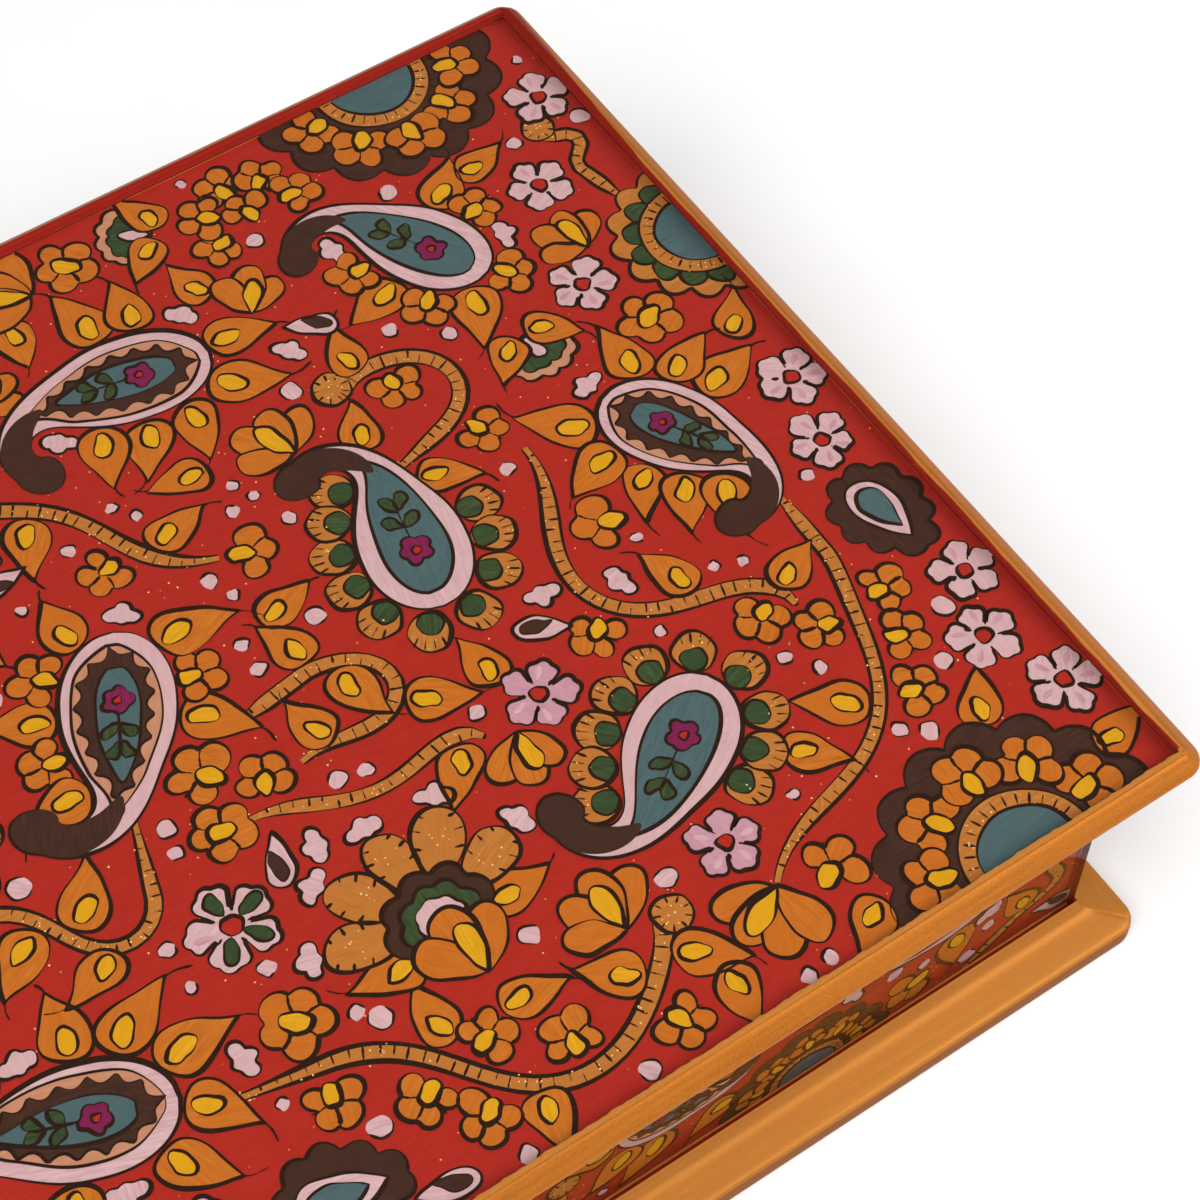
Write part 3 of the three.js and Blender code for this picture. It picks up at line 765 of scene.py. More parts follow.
class Painting:
    """The strokes on one pane, in millimetres from the pane's middle."""

    def __init__(self, half_width, half_height, seed):
        self.half = np.array([half_width, half_height])
        self.fills = {}
        self.ribbons = []
        self.strokes = 0
        self.rng = np.random.default_rng(seed)
        counts = (2 * self.half / MAP_CELL).astype(int) + 2 * MAP_MARGIN
        self.covered = np.zeros(counts, bool)
        rows, columns = np.meshgrid(np.arange(counts[0]), np.arange(counts[1]), indexing="ij")
        self.centres = (np.stack([rows, columns], axis=-1) - MAP_MARGIN + 0.5) * MAP_CELL - self.half

    def cells(self, points):
        """The rows and the columns of the map in which points lie."""
        index = ((points + self.half) / MAP_CELL + MAP_MARGIN).astype(int)
        return tuple(np.clip(index, 0, np.array(self.covered.shape) - 1).T)

    def cover(self, outline):
        """Marks the cells on an outline and inside it."""
        rows, columns = self.cells(np.array([outline.min(axis=0), outline.max(axis=0)]))
        window = (slice(rows[0], rows[1] + 1), slice(columns[0], columns[1] + 1))
        centres = self.centres[window]
        hit = inside(centres.reshape(-1, 2), outline).reshape(centres.shape[:2])
        self.covered[window] |= hit
        self.covered[self.cells(outline)] = True

    def near(self, radius):
        """True where something is painted within radius: the map is spread by a disc of that size."""
        reach = radius / MAP_CELL
        k = np.arange(-int(reach), int(reach) + 1)
        disc = np.zeros(self.covered.shape)
        a, b = np.meshgrid(k, k, indexing="ij")
        within = a**2 + b**2 <= reach**2
        disc[a[within], b[within]] = 1.0
        spread = np.fft.irfft2(np.fft.rfft2(self.covered) * np.fft.rfft2(disc), s=disc.shape)
        return spread > 0.5

    def snug_places(self, radius):
        """Places that are just far enough from everything painted, so that the gaps stay small."""
        on_pane = (np.abs(self.centres) < self.half - 0.8 * radius).all(axis=-1)
        free = on_pane & ~self.near(radius)
        snug = free & self.near(radius + SNUG_BAND)
        return self.centres[snug if snug.any() else free]

    def away(self, at, reach=14.0):
        """The direction from the nearest painted cell to a place."""
        gap = self.centres - at
        distance = np.where(self.covered, (gap**2).sum(axis=-1), np.inf)
        k = np.unravel_index(np.argmin(distance), distance.shape)
        if distance[k] > reach**2:
            return self.rng.uniform(0, 2 * np.pi)
        return way_of(-gap[k])

    def room(self, points, radius):
        """True if nothing is painted within radius of the points, and all are on the pane."""
        points = np.atleast_2d(points)
        if (np.abs(points) > self.half - 0.7 * radius).any():
            return False
        angle = np.linspace(0, 2 * np.pi, 16, endpoint=False)
        rings = np.concatenate([[0.0], np.arange(1.0, radius, 1.3), [radius]])
        disc = (rings[:, None, None] * np.column_stack([np.cos(angle), np.sin(angle)])).reshape(-1, 2)
        return not self.covered[self.cells((points[:, None] + disc).reshape(-1, 2))].any()

    def own_level(self, level):
        """The level of the next stroke, a hair above the one asked for. The hairs follow the golden
        ratio, so no two coats share a plane, and all are smaller than one fine step."""
        self.strokes += 1
        return level + HAIR * (self.strokes * GOLDEN_STEP % 1.0)

    def shaken(self, path, shake=0.13):
        """A closed outline as a hand draws it: slow waves of random phase are added to it."""
        t = np.linspace(0, 2 * np.pi, len(path), endpoint=False)[:, None]
        phase = self.rng.uniform(0, 2 * np.pi, (3, 2))
        wave = np.sin(2 * t + phase[0]) + 0.7 * np.sin(3 * t + phase[1]) + 0.5 * np.sin(5 * t + phase[2])
        return path + shake * wave

    def fill(self, colour, outline, level, along=0.0):
        """Fills an outline with a colour. along is the angle in which the brush was drawn."""
        clipped = np.clip(outline, -self.half, self.half)
        stroke = (clipped, self.own_level(level), along, self.rng.uniform())
        self.fills.setdefault(colour, []).append(stroke)
        self.cover(outline)

    def ink(self, path, level, width=INK_WIDTH, closed=False):
        """Draws a line of ink as a ribbon. The pen is heavier on strokes whose left side faces down to
        the right, two slow waves press it, and an open line thins out at both ends."""
        path = evenly(path, INK_STEP, closed)
        t = np.linspace(0, 1, len(path), endpoint=not closed)
        phase = self.rng.uniform(0, 2 * np.pi, 3)
        side = left_of(path, closed)
        slant = side @ toward(phase[2])
        press = 0.92 + 0.4 * slant + 0.16 * np.sin(2 * np.pi * t + phase[0])
        press = press + 0.14 * np.sin(6 * np.pi * t + phase[1])
        if not closed:
            press = press * np.clip(6 * np.minimum(t, 1 - t) + 0.3, 0, 1)
        half = 0.5 * width * press[:, None]
        self.ribbons.append((path - side * half, path + side * half, self.own_level(level), closed))
        self.covered[self.cells(path)] = True

    def shape(self, colour, outline, level, ink_level, along=0.0, width=INK_WIDTH, step=OUTLINE_STEP):
        """A filled outline with a line of ink round it."""
        outline = self.shaken(evenly(outline, step, closed=True))
        self.fill(colour, outline, level, along)
        self.ink(outline, ink_level, width, closed=True)

    def layers(self, at, turn, level, *parts):
        """Shapes at one place, from the lowest up. Each is a colour, an outline, the levels of its fill
        and of its ink in fine steps above level, and the width of its ink in usual widths."""
        for colour, outline, low, high, width in parts:
            here = placed(outline, at, turn)
            self.shape(colour, here, level + low * FINE, level + high * FINE, turn, width * INK_WIDTH)


# %% [markdown]
# ## Outlines of the motifs
# The patterns are old and common ones: the curled drop known from shawls and carpets, blossoms with
# round petals, pointed leaves and banded vines. Each outline is a formula, so that size and number
# of petals can change from flower to flower, as they do when every flower is drawn by hand.


# %% Outlines
def drop(length, width, point=1.0):
    """A drop from its point at the origin: along it runs L (1 - cos t) / 2, across it sin t sin^p(t/2)."""
    t = np.linspace(0, 2 * np.pi, 40, endpoint=False)
    across = np.sin(t) * np.abs(np.sin(t / 2)) ** point
    return np.column_stack([length * (1 - np.cos(t)) / 2, 0.5 * width * across / np.abs(across).max()])


def flame(length, width, flick):
    """A leaf from its round foot at the origin to a point, which flicks sideways by flick."""
    leaf = drop(length, width, 1.35)
    x = length - leaf[:, 0]
    return np.column_stack([x, -leaf[:, 1] + flick * (x / length) ** 2.4])


def oval(length, width, count=26):
    """An ellipse from the origin along X."""
    return arc((length / 2, 0), (length / 2, width / 2), 0, 360, count + 1)[:-1]


def petals(distances, sizes, angles, least, count=110):
    """The edge of a flower of round petals. In each direction it is the farthest crossing with any
    petal's circle, a cos f + sqrt(b^2 - a^2 sin^2 f), where a is the petal's distance, b its radius
    and f the angle to it, and never less than least."""
    t = np.linspace(0, 2 * np.pi, count, endpoint=False)
    f = t[:, None] - np.asarray(angles)
    a, b = np.asarray(distances), np.asarray(sizes)
    under = b**2 - (a * np.sin(f)) ** 2
    crossing = np.where((under > 0) & (np.cos(f) > 0), a * np.cos(f) + np.sqrt(np.clip(under, 0, None)), 0)
    r = np.maximum(crossing.max(axis=1), least)
    return np.column_stack([r * np.cos(t), r * np.sin(t)])


def round_turn(count):
    """Angles at even steps round a full turn."""
    return 2 * np.pi * np.arange(count) / count


def scalloped(outline, depth, pitch):
    """An outline with round scallops: it is pushed outwards by depth |sin| along its length."""
    even = evenly(outline, 0.5, closed=True)
    waves = max(int(round(0.5 * len(even) / pitch)), 3)
    t = np.linspace(0, 1, len(even), endpoint=False)
    out = -left_of(even, closed=True) * np.sign(signed_area(even))
    return even + out * (depth * np.abs(np.sin(np.pi * waves * t)) ** 0.8)[:, None]


def smooth_line(stops):
    """A line through all stops: each span is a cubic whose end slopes are half its neighbours' step."""
    s = np.vstack([2 * stops[0] - stops[1], stops, 2 * stops[-1] - stops[-2]])
    a, b, c, d = (s[k : len(s) - 3 + k][:, None] for k in range(4))
    u = np.linspace(0, 1, 5, endpoint=False)[None, :, None]
    spans = 0.5 * (2 * b + (c - a) * u + (2 * a - 5 * b + 4 * c - d) * u**2 + (3 * b - a - 3 * c + d) * u**3)
    return np.vstack([spans.reshape(-1, 2), stops[-1:]])


# %% [markdown]
# ## Small motifs
# A leaf is an orange flame with a yellow heart. A blossom has round petals on the side away from its
# stem and a yellow heart next to the stem, and a line of ink runs between its petals to the heart.
# Pink blossoms have petals of three lobes and a red centre, and some carry a small green leaf on
# each petal. Pink puffs and loose pink dots fill the last gaps.

# %% Buds and blossoms
def bud(p, at, turn, length=10.5, level=LEAF_LEVEL):
    """A flame-shaped leaf with a yellow heart at its foot and a tail of ink at its tip."""
    flick = p.rng.choice([-1, 1]) * p.rng.uniform(0.12, 0.36) * length
    leaf = flame(length, 0.68 * length, flick)
    heart = oval(0.42 * length, 0.25 * length) + (0.08 * length, 0)
    p.layers(at, turn, level, ("orange", leaf, 0, 2, 1.0), ("yellow", heart, 1, 2, 0.8))
    tail = np.array([(0.95, 0.9), (1.06, 1.25), (1.14, 1.8)]) * (length, flick)
    p.ink(placed(smooth_line(tail), at, turn), level + 2 * FINE, 0.6 * INK_WIDTH)


def blossom(p, at, turn, size=5.8, count=0, level=BLOSSOM_LEVEL):
    """Three to five round petals on the far side of a yellow heart, which lies at the stem's end."""
    count = count or p.rng.choice([3, 4, 4, 5])
    angles = 1.28 * (np.arange(count) - (count - 1) / 2) + p.rng.uniform(-0.09, 0.09, count)
    sizes = 0.43 * size * p.rng.uniform(0.84, 1.12, count)
    edge = petals(0.59 * size * p.rng.uniform(0.94, 1.08, count), sizes, angles, 0.26 * size)
    p.layers(at, turn, level, ("orange", edge, 0, 1, 1.0))
    for angle in (angles[1:] + angles[:-1]) / 2:
        ray = np.array([(0.8, 0.0), (0.56, 0.04), (0.2, 0.0)]) * size
        p.ink(placed(ray, at, turn + angle), level + FINE, 0.9 * INK_WIDTH)
    back = 0.66 if count < 5 else 0.45
    heart = oval(p.rng.uniform(0.8, 0.98) * size, 0.6 * size) - (back * size, 0)
    p.layers(at, turn, level, ("yellow", heart, 2, 3, 1.1))


def pink_blossom(p, at, turn, size=6.2, level=BLOSSOM_LEVEL, leaves=None):
    """Five petals, each of three lobes, round a red centre. A darker streak lies on each petal, and a
    few flowers carry small green leaves there instead."""
    colour, streak_colour = ("rose", "pink") if p.rng.uniform() < 0.25 else ("pink", "rose")
    middle = round_turn(5) + p.rng.uniform(-0.04, 0.04, 5)
    angles = (middle[:, None] + [-0.29, 0.0, 0.29]).ravel()
    distances = np.tile([0.68, 0.78, 0.68], 5) * np.repeat(p.rng.uniform(0.93, 1.07, 5), 3) * size
    edge = petals(distances, 0.2 * size * p.rng.uniform(0.9, 1.06, 15), angles, 0.4 * size, 200)
    p.shape(colour, placed(edge, at, turn), level, level + 4 * FINE, turn, step=0.45)
    leaves = p.rng.uniform() < 0.25 if leaves is None else leaves
    for k, angle in enumerate(middle):
        ray = np.array([(0.52, 0.0), (0.42, 0.02), (0.32, 0.0)]) * size
        p.ink(placed(ray, at, turn + angle + np.pi / 5), level + 4 * FINE)
        if leaves and k != 2:
            leaf = drop(0.6 * size, 0.32 * size, 0.6) + (0.26 * size, 0)
            p.shape("green", placed(leaf, at, turn + angle), level + 2 * FINE, level + 4 * FINE, turn, 0.4)
        elif p.rng.uniform() < 0.6:
            streak = drop(0.4 * size, 0.16 * size, 0.7) + (0.38 * size, p.rng.uniform(-0.12, 0.12) * size)
            p.fill(streak_colour, placed(streak, at, turn + angle), level + FINE, turn + angle)
    centre = oval(0.44 * size, 0.44 * size) - (0.22 * size, 0)
    p.shape("red", placed(centre, at), level + 3 * FINE, level + 4 * FINE, turn, 0.95 * INK_WIDTH)


def pip(p, at, turn, size=1.45):
    """A loose pink dot, not quite round, with a broken line of ink round it."""
    size = size * p.rng.choice([0.75, 1.0, 1.3]) * p.rng.uniform(0.9, 1.1)
    edge = p.shaken(placed(oval(2 * size, 1.8 * size) - (size, 0), at, turn), 0.1)
    p.fill("pink", edge, LEAF_LEVEL, turn)
    part = np.roll(edge, -p.rng.integers(0, 20), axis=0)[: int(p.rng.uniform(0.6, 1.0) * len(edge))]
    p.ink(part, LEAF_LEVEL + FINE, 0.7 * INK_WIDTH)


def cloud(p, at, turn, size=2.8, level=LEAF_LEVEL):
    """A small pink puff, wider than deep, with three bumps on its far side."""
    edge = petals((0.7, 0.62, 0.7), (0.5, 0.5, 0.5), (-1.25, 0.0, 1.25), 0.42, 90)
    edge = placed(edge, at, turn, size)
    p.shape("pink", edge, level, level + FINE, turn, 0.9 * INK_WIDTH, step=0.5)


def spray(p, at, turn, length=10.5, count=0, level=BLOSSOM_LEVEL):
    """A fan of round-ended petals from one point, with a long yellow one in front."""
    count = count or p.rng.choice([3, 4])
    for k, angle in enumerate(0.62 * (np.arange(count) - (count - 1) / 2)):
        size = length * (1.0 - 0.14 * abs(angle)) * p.rng.uniform(0.92, 1.06)
        base = level + 2 * FINE * k
        petal = placed(drop(size, 0.56 * size, 0.7), at, turn + angle)
        p.shape("orange", petal, base, base + FINE, turn + angle)
    tilt = turn + p.rng.uniform(-0.3, 0.3)
    top = level + 2 * FINE * count
    p.shape("yellow", placed(drop(0.72 * length, 0.31 * length, 0.7), at, tilt), top, top + FINE, tilt)


def tulip(p, at, turn, size=9.5, level=BLOSSOM_LEVEL):
    """A cup of dark green scallops with a pale edge, between two orange leaves."""
    rim = "pink" if p.rng.uniform() < 0.5 else "salmon"
    cup = scalloped(oval(0.9 * size, 1.25 * size) + (0.1 * size, 0), 0.9, 3.6)
    inner = scalloped(oval(0.66 * size, 1.0 * size) + (0.12 * size, 0), 0.7, 2.9)
    tongue = drop(0.62 * size, 0.26 * size, 0.7)
    p.layers(at, turn, level, (rim, cup, 0, 3, 1.0), ("green", inner, 1, 3, 0.8), ("pink", tongue, 2, 3, 0.8))
    for side in (-1, 1):
        foot = placed(np.array([-0.1 * size, side * 0.12 * size]), at, turn)
        bud(p, foot, turn + side * 1.02, 1.12 * size, level + 5 * FINE)


def dark_drop(p, at, turn, length=10.0, level=BLOSSOM_LEVEL):
    """A pale drop with a dark one inside, its tip drawn out to one side."""
    bend = p.rng.choice([-1, 1]) * 0.22
    outer = drop(length, 0.5 * length, 0.9)
    outer = outer + np.column_stack([np.zeros(len(outer)), bend * (1 - outer[:, 0] / length) ** 2 * length])
    inner = drop(0.6 * length, 0.26 * length, 0.7) + (0.28 * length, 0)
    p.layers(at, turn, level, ("pink", outer, 0, 2, 1.0), ("brown", inner, 1, 2, 0.4))


def ruffled_drop(p, at, turn, length=17.0, level=BLOSSOM_LEVEL):
    """A teal drop in a pale one, in a dark ruffle of round scallops."""
    ruffle = scalloped(drop(1.3 * length, 1.0 * length, 0.6) - (0.2 * length, 0), 1.7, 4.8)
    pale = drop(length, 0.56 * length, 0.8)
    inner = drop(0.68 * length, 0.36 * length, 0.8) + (0.2 * length, 0)
    p.layers(at, turn, level, ("brown", ruffle, 0, 2, 1), ("pink", pale, 1, 3, 1), ("teal", inner, 2, 3, 1))


def umbel(p, at, turn, count=5, size=5.2, level=BLOSSOM_LEVEL):
    """A dome of blossoms on a stem's end: all face away from it, and the inner one lies on top."""
    reach = 1.72 * size
    order = p.rng.permutation(count)
    for k, angle in zip(order, 0.84 * (np.arange(count) - (count - 1) / 2)):
        spot = placed(np.array([reach, 0.0]), at, turn + angle)
        blossom(p, spot, turn + angle, size * p.rng.uniform(0.9, 1.05), 4, level + 4 * FINE * k)
    blossom(p, placed(np.array([0.35 * size, 0.0]), at, turn), turn, 0.9 * size, 3, level + 4 * FINE * count)


def fan_flower(p, at, turn, size=1.0, level=BLOSSOM_LEVEL):
    """The largest flower, from its foot: a spray, a dome of scallops behind it, and round the dome a
    fan of broad drops with short bars, each with a pink puff at its end."""
    centre = placed(np.array([10.0 * size, 0.0]), at, turn)
    for angle in 0.6 * np.arange(-2, 3) + p.rng.uniform(-0.04, 0.04, 5):
        way = turn + angle
        length = 12.4 * size * p.rng.uniform(0.94, 1.05)
        foot = placed(np.array([5.0 * size, 0.0]), centre, way)
        petal = drop(length, 0.6 * length, 0.7)
        p.layers(foot, way, level, ("tan", petal, 0, 1, 1.0))
        for k in (10, 13, 16, 24, 27, 30):
            bar = petal[k] * np.array([(1.0, 1.0), (0.96, 0.62)])
            p.ink(placed(bar, foot, way), level + FINE, 0.75 * INK_WIDTH)
        heart = placed(np.array([[0.6 * length, 0.0]]), foot, way)
        sprinkle(p, heart, 0.17 * length, level + 2 * FINE, 6)
        cloud(p, placed(np.array([length + 1.2 * size, 0.0]), foot, way), way)
    for side in (-1, 1):
        foot = placed(np.array([-1.8, side * 6.2]) * size, centre, turn)
        bud(p, foot, turn + 1.75 * side, 10.5 * size, level - 4 * FINE)
    for colour, reach, lobe, step in (("brown", 6.1, 2.7, 2), ("green", 4.3, 2.0, 4), ("pink", 2.4, 1.5, 6)):
        edge = petals(reach * size, lobe * size, 0.72 * np.arange(-2, 3), 0.8 * reach * size, 90)
        p.layers(centre, turn, level, (colour, edge, step, step + 1, 1.0))
    spray(p, at, turn, 11.5 * size, 3, level + 9 * FINE)


def dark_rosette(p, at, turn, size=8.0, level=BLOSSOM_LEVEL):
    """A dark many-lobed flower with a pale ray on each lobe and an orange heart."""
    angles = round_turn(8)
    edge = petals(0.68 * size, 0.34 * size, angles, 0.5 * size)
    p.layers(at, turn, level, ("brown", edge, 0, 1, 1.0))
    for angle in angles:
        ray = drop(0.42 * size, 0.17 * size, 0.6) + (0.42 * size, 0)
        p.shape("rose", placed(ray, at, turn + angle), level + 2 * FINE, level + 3 * FINE, turn, 0.35)
    heart = petals(0.24 * size, 0.16 * size, round_turn(5), 0.16 * size, 60)
    p.layers(at, turn, level, ("orange", heart, 2, 3, 1.0))


# %% [markdown]
# ## Vines
# The vines are broad tan ribbons with a dark line along each edge and short bars across them, like
# the rings of bamboo, dusted with glitter. Some end in a round knob. Leaves and blossoms stand on
# both sides, and the vine ends in a larger flower.

# %% Vines
BAND_PITCH = 2.2
LEAF_PITCH = 4.5
VINE_ROOM = 2.3
KNOB_SHARE = 0.4
FLAKE_SIZE = 0.15
KNOB_BARS = 9


def sprinkle(p, centres, reach, level, count):
    """Glitter: small pentagons strewn round the centres, within reach of them."""
    chosen = centres[p.rng.integers(0, len(centres), count)]
    spots = np.clip(chosen + p.rng.uniform(-reach, reach, (count, 2)), 0.3 - p.half, p.half - 0.3)
    corners = arc((0, 0), (FLAKE_SIZE, FLAKE_SIZE), 0, 360, 6)[:-1]
    flakes = p.fills.setdefault("glitter", [])
    for spot, size in zip(spots, p.rng.uniform(0.45, 1.2, count)):
        flakes.append((spot + corners * size, p.own_level(level), 0.0, size))


def bars(p, at, ways, start, end, level):
    """Short bars of ink that stand like rays round a place, from start to end away from it."""
    for way in ways:
        p.ink(placed(np.array([(start, 0.0), (end, 0.0)]), at, way), level, 0.6 * INK_WIDTH)


def ribbon_vine(p, path, width=2.6, knob=True, level=VINE_LEVEL):
    """A banded ribbon along a path, which thins out to its tail; the knob is a disc at its head."""
    path = evenly(np.asarray(path, float), INK_STEP)
    t = np.linspace(0, 1, len(path))[:, None]
    half = 0.5 * width * (0.4 + 0.6 * smoothstep(1 - t, -0.02, 0.25)) * (1 + 0.07 * np.sin(9 * t))
    half = half if knob else half * (0.4 + 0.6 * smoothstep(t, -0.02, 0.1))
    side = left_of(path)
    left, right = path + side * half, path - side * half
    p.fill("tan", np.vstack([left, right[::-1]]), level, way_of(path[-1] - path[0]))
    p.ink(left, level + FINE)
    p.ink(right, level + FINE)
    p.ink(np.vstack([left[0], path[0] - (path[1] - path[0]) * 0.4, right[0]]), level + FINE)
    length = INK_STEP * len(path)
    for stop in np.arange(BAND_PITCH, length - BAND_PITCH, BAND_PITCH):
        k = min(int(stop / INK_STEP), len(path) - 2)
        start, end = (right[k], left[k]) if p.rng.uniform() < 0.7 else (left[k], right[k])
        bar = np.vstack([start, start + (end - start) * p.rng.uniform(0.55, 0.95)])
        p.ink(bar, level + FINE, 0.55 * INK_WIDTH)
    sprinkle(p, path, 0.42 * width, level + 2 * FINE, int(0.5 * length))
    if knob:
        size = 1.2 * width
        centre = path[0] - (path[1] - path[0]) / INK_STEP * 0.4 * size + side[0] * (size - 0.5 * width)
        top = level + 4 * FINE
        p.shape("tan", placed(oval(2 * size, 2 * size) - (size, 0), centre), top, top + FINE)
        ways = np.linspace(0, 2 * np.pi, KNOB_BARS, endpoint=False)
        bars(p, centre, ways, 0.95 * size, 0.55 * size, top + FINE)
        sprinkle(p, centre[None], 0.6 * size, top + 2 * FINE, 8)


def along_vine(p, path):
    """Leaves, or now and then a blossom, on both sides of a vine wherever there is room."""
    path = evenly(path, 1.0)
    side = left_of(path)
    for stop in np.arange(5.0, len(path) - 4.0, LEAF_PITCH):
        k = int(stop)
        out = side[k] * (1 if int(stop / LEAF_PITCH) % 2 else -1)
        foot = path[k] + out * 1.5
        way = way_of(out) + p.rng.uniform(-0.35, 0.35)
        if p.room(foot + out * 6.2, 3.7):
            if p.rng.uniform() < 0.5:
                blossom(p, foot + out * 4.4, way, 4.8, 4)
            else:
                bud(p, foot, way, p.rng.uniform(10.5, 12.5))


def end_of_vine(p, path):
    """The largest flower for which there is room at the vine's end."""
    step = path[-1] - path[-2]
    ahead = step / np.linalg.norm(step)
    way, foot = way_of(ahead), path[-1]
    if p.room(foot + ahead * 9.5, 7.4):
        kind = p.rng.choice(["umbel", "tulip", "spray"])
        if kind == "umbel":
            umbel(p, foot + ahead * 2.0, way)
        elif kind == "tulip":
            tulip(p, foot + ahead * 1.2, way, 10.0)
        else:
            spray(p, foot + ahead * 0.8, way, 12.5, 4)
    elif p.room(foot + ahead * 6.4, 4.6):
        blossom(p, foot + ahead * 4.6, way, 5.4)
    elif p.room(foot + ahead * 5.6, 3.2):
        bud(p, foot, way, 9.0)


# %% [markdown]
# ## The curled drop
# The main motif is a drop whose tip curls over into a round dark head. Its form follows a spine that
# is straight through the belly and turns ever faster towards the head. Half widths are set off to
# both sides of the spine: a half ellipse at the round end, a long waist, and a circle for the head.
# Inner bands are narrower forms on the same spine, so they all curl together: a teal field in a
# pale rim, and in the richer drops a salmon band too, whose inner edge is cut into teeth.


# %% Curled drop
DROP_LENGTH = 44.0
SPINE_SHARE = 1.14
CURL = 2.9
BELLY, NECK, HEAD = 9.2, 2.7, 3.7
WIDEST = 0.25


def spine_line(length, curl, count=110):
    """A line whose heading turns by curl, late: its points add up small steps along the heading."""
    s = np.linspace(0, 1, count)
    heading = curl * smoothstep(s, 0.46, 1.06) ** 1.15
    step = length / (count - 1)
    steps = np.column_stack([np.cos(heading), np.sin(heading)]) * step
    return s, np.vstack([[0.0, 0.0], np.cumsum(steps[:-1], axis=0)])


def paisley(p, at, turn, length, flip=1, rich=True, ring="buds", level=PAISLEY_LEVEL):
    """A curled drop round its belly's middle, heading along turn, with a ring of leaves round it."""
    scale = length / DROP_LENGTH
    s, spine = spine_line(SPINE_SHARE * length, CURL)
    side = left_of(spine)
    belly, neck, head = BELLY * scale, NECK * scale, HEAD * scale
    start = belly * np.sqrt(np.clip(1 - ((WIDEST - s) / WIDEST) ** 2, 0, 1))
    waist = neck + (belly - neck) * (0.5 + 0.5 * np.cos(np.pi * smoothstep(s, WIDEST, 0.86) ** 0.72))
    head_at = 1 - head / (SPINE_SHARE * length)
    ball = np.sqrt(np.clip(head**2 - ((s - head_at) * SPINE_SHARE * length) ** 2, 0, None))
    half = np.where(s < WIDEST, start, np.where(s < head_at, np.maximum(waist, ball), ball))[:, None]
    spine = spine - spine[int(WIDEST * len(s))]
    left, right = spine + side * half, spine - side * half
    top = level + 6 * FINE

    def here(points):
        return placed(points * (1, flip), at, turn)

    def band(low, high, width, sharp=0.75):
        """A drop on the spine, round at low and drawn out to a point at high."""
        q = np.clip((s - low) / (high - low), 0, 1)
        form = np.sqrt(q) * (1 - q) ** sharp
        within = (s >= low) & (s <= high)
        across = side[within] * (width * form / form.max())[within, None]
        return between(spine[within] + across, spine[within] - across, OUTLINE_STEP)

    p.shape("pink", here(between(left, right, OUTLINE_STEP)), level, top, turn, 1.1 * INK_WIDTH)
    rim_left = 1.8 * scale * (1 - 0.7 * smoothstep(s, 0.35, 0.65))[:, None]
    rim_right = 2.5 * scale * (1 - 0.5 * smoothstep(s, 0.45, 0.75))[:, None]
    if rich:
        body = (s > 0.04) & (s < 0.70)
        middle = ((left + right) / 2)[body]
        cap = np.sqrt(np.clip(1 - (np.clip(0.16 - s[body], 0, None) / 0.12) ** 2, 0, 1))
        taper = (cap * smoothstep(s[body], 0.70, 0.50))[:, None]

        def inset(extra):
            """The drop's body without its pale rim and a further margin, drawn to a point in the neck."""
            near = middle + ((left - side * (rim_left + extra))[body] - middle) * taper
            far = middle + ((right + side * (rim_right + extra))[body] - middle) * taper
            return between(near, far, 0.5)

        p.shape("salmon", here(inset(0.0)), level + FINE, top, turn, 0.8 * INK_WIDTH)
        spiky = scalloped(inset(0.35 * scale), -1.7 * scale, 4.4 * scale)
        p.shape("brown", here(spiky), level + 2 * FINE, top, turn, 0.6 * INK_WIDTH)
        field = here(band(0.12, 0.55, 0.39 * belly, 0.9))
        p.shape("teal", field, level + 3 * FINE, top, turn, 0.8 * INK_WIDTH)
    else:
        p.shape("teal", here(band(0.07, 0.68, 0.64 * belly, 1.05)), level + 3 * FINE, top, turn)
    tip = 0.58 if rich else 0.60
    upper = s > tip
    dark = []
    for edge, full_at in ((left, 0.72), (right, 0.82)):
        share = np.clip((s[upper] - tip) / (full_at - tip), 0, 1)[:, None] ** 0.8
        dark.append(spine[upper] + (edge - spine)[upper] * share)
    p.fill("brown", here(between(*dark, 0.4)), top + 0.5 * FINE, turn)
    foot, flower_tip = here(spine[[int(0.25 * len(s)), int((0.42 if rich else 0.45) * len(s))]])
    posy(p, foot, flower_tip, (2.6 if rich else 3.0) * scale, top)
    paisley_ring(p, here, left, right, s, ring)


def posy(p, centre, tip, size, level):
    """A magenta flower with a red centre, and two pairs of green leaves on its stem."""
    ahead = tip - centre
    way = way_of(ahead)
    p.ink(np.vstack([centre, centre + 0.9 * ahead]), level + FINE, 0.7 * INK_WIDTH)
    for share, lean in ((0.5, 0.9), (0.5, -0.9), (0.85, 0.5), (0.85, -0.55)):
        leaf = placed(drop(1.35 * size, 0.75 * size, 0.6), centre + share * ahead, way + lean)
        p.shape("green", leaf, level + 2 * FINE, level + 3 * FINE, way, 0.5)
    edge = petals(0.6 * size, 0.42 * size, round_turn(5) + 0.3, 0.5 * size, 60)
    p.shape("magenta", placed(edge, centre, way), level + 4 * FINE, level + 5 * FINE, way, 0.5)
    middle = oval(0.6 * size, 0.56 * size) - (0.3 * size, 0)
    p.shape("red", placed(middle, centre), level + 5 * FINE, level + 6 * FINE, way, 0.4)


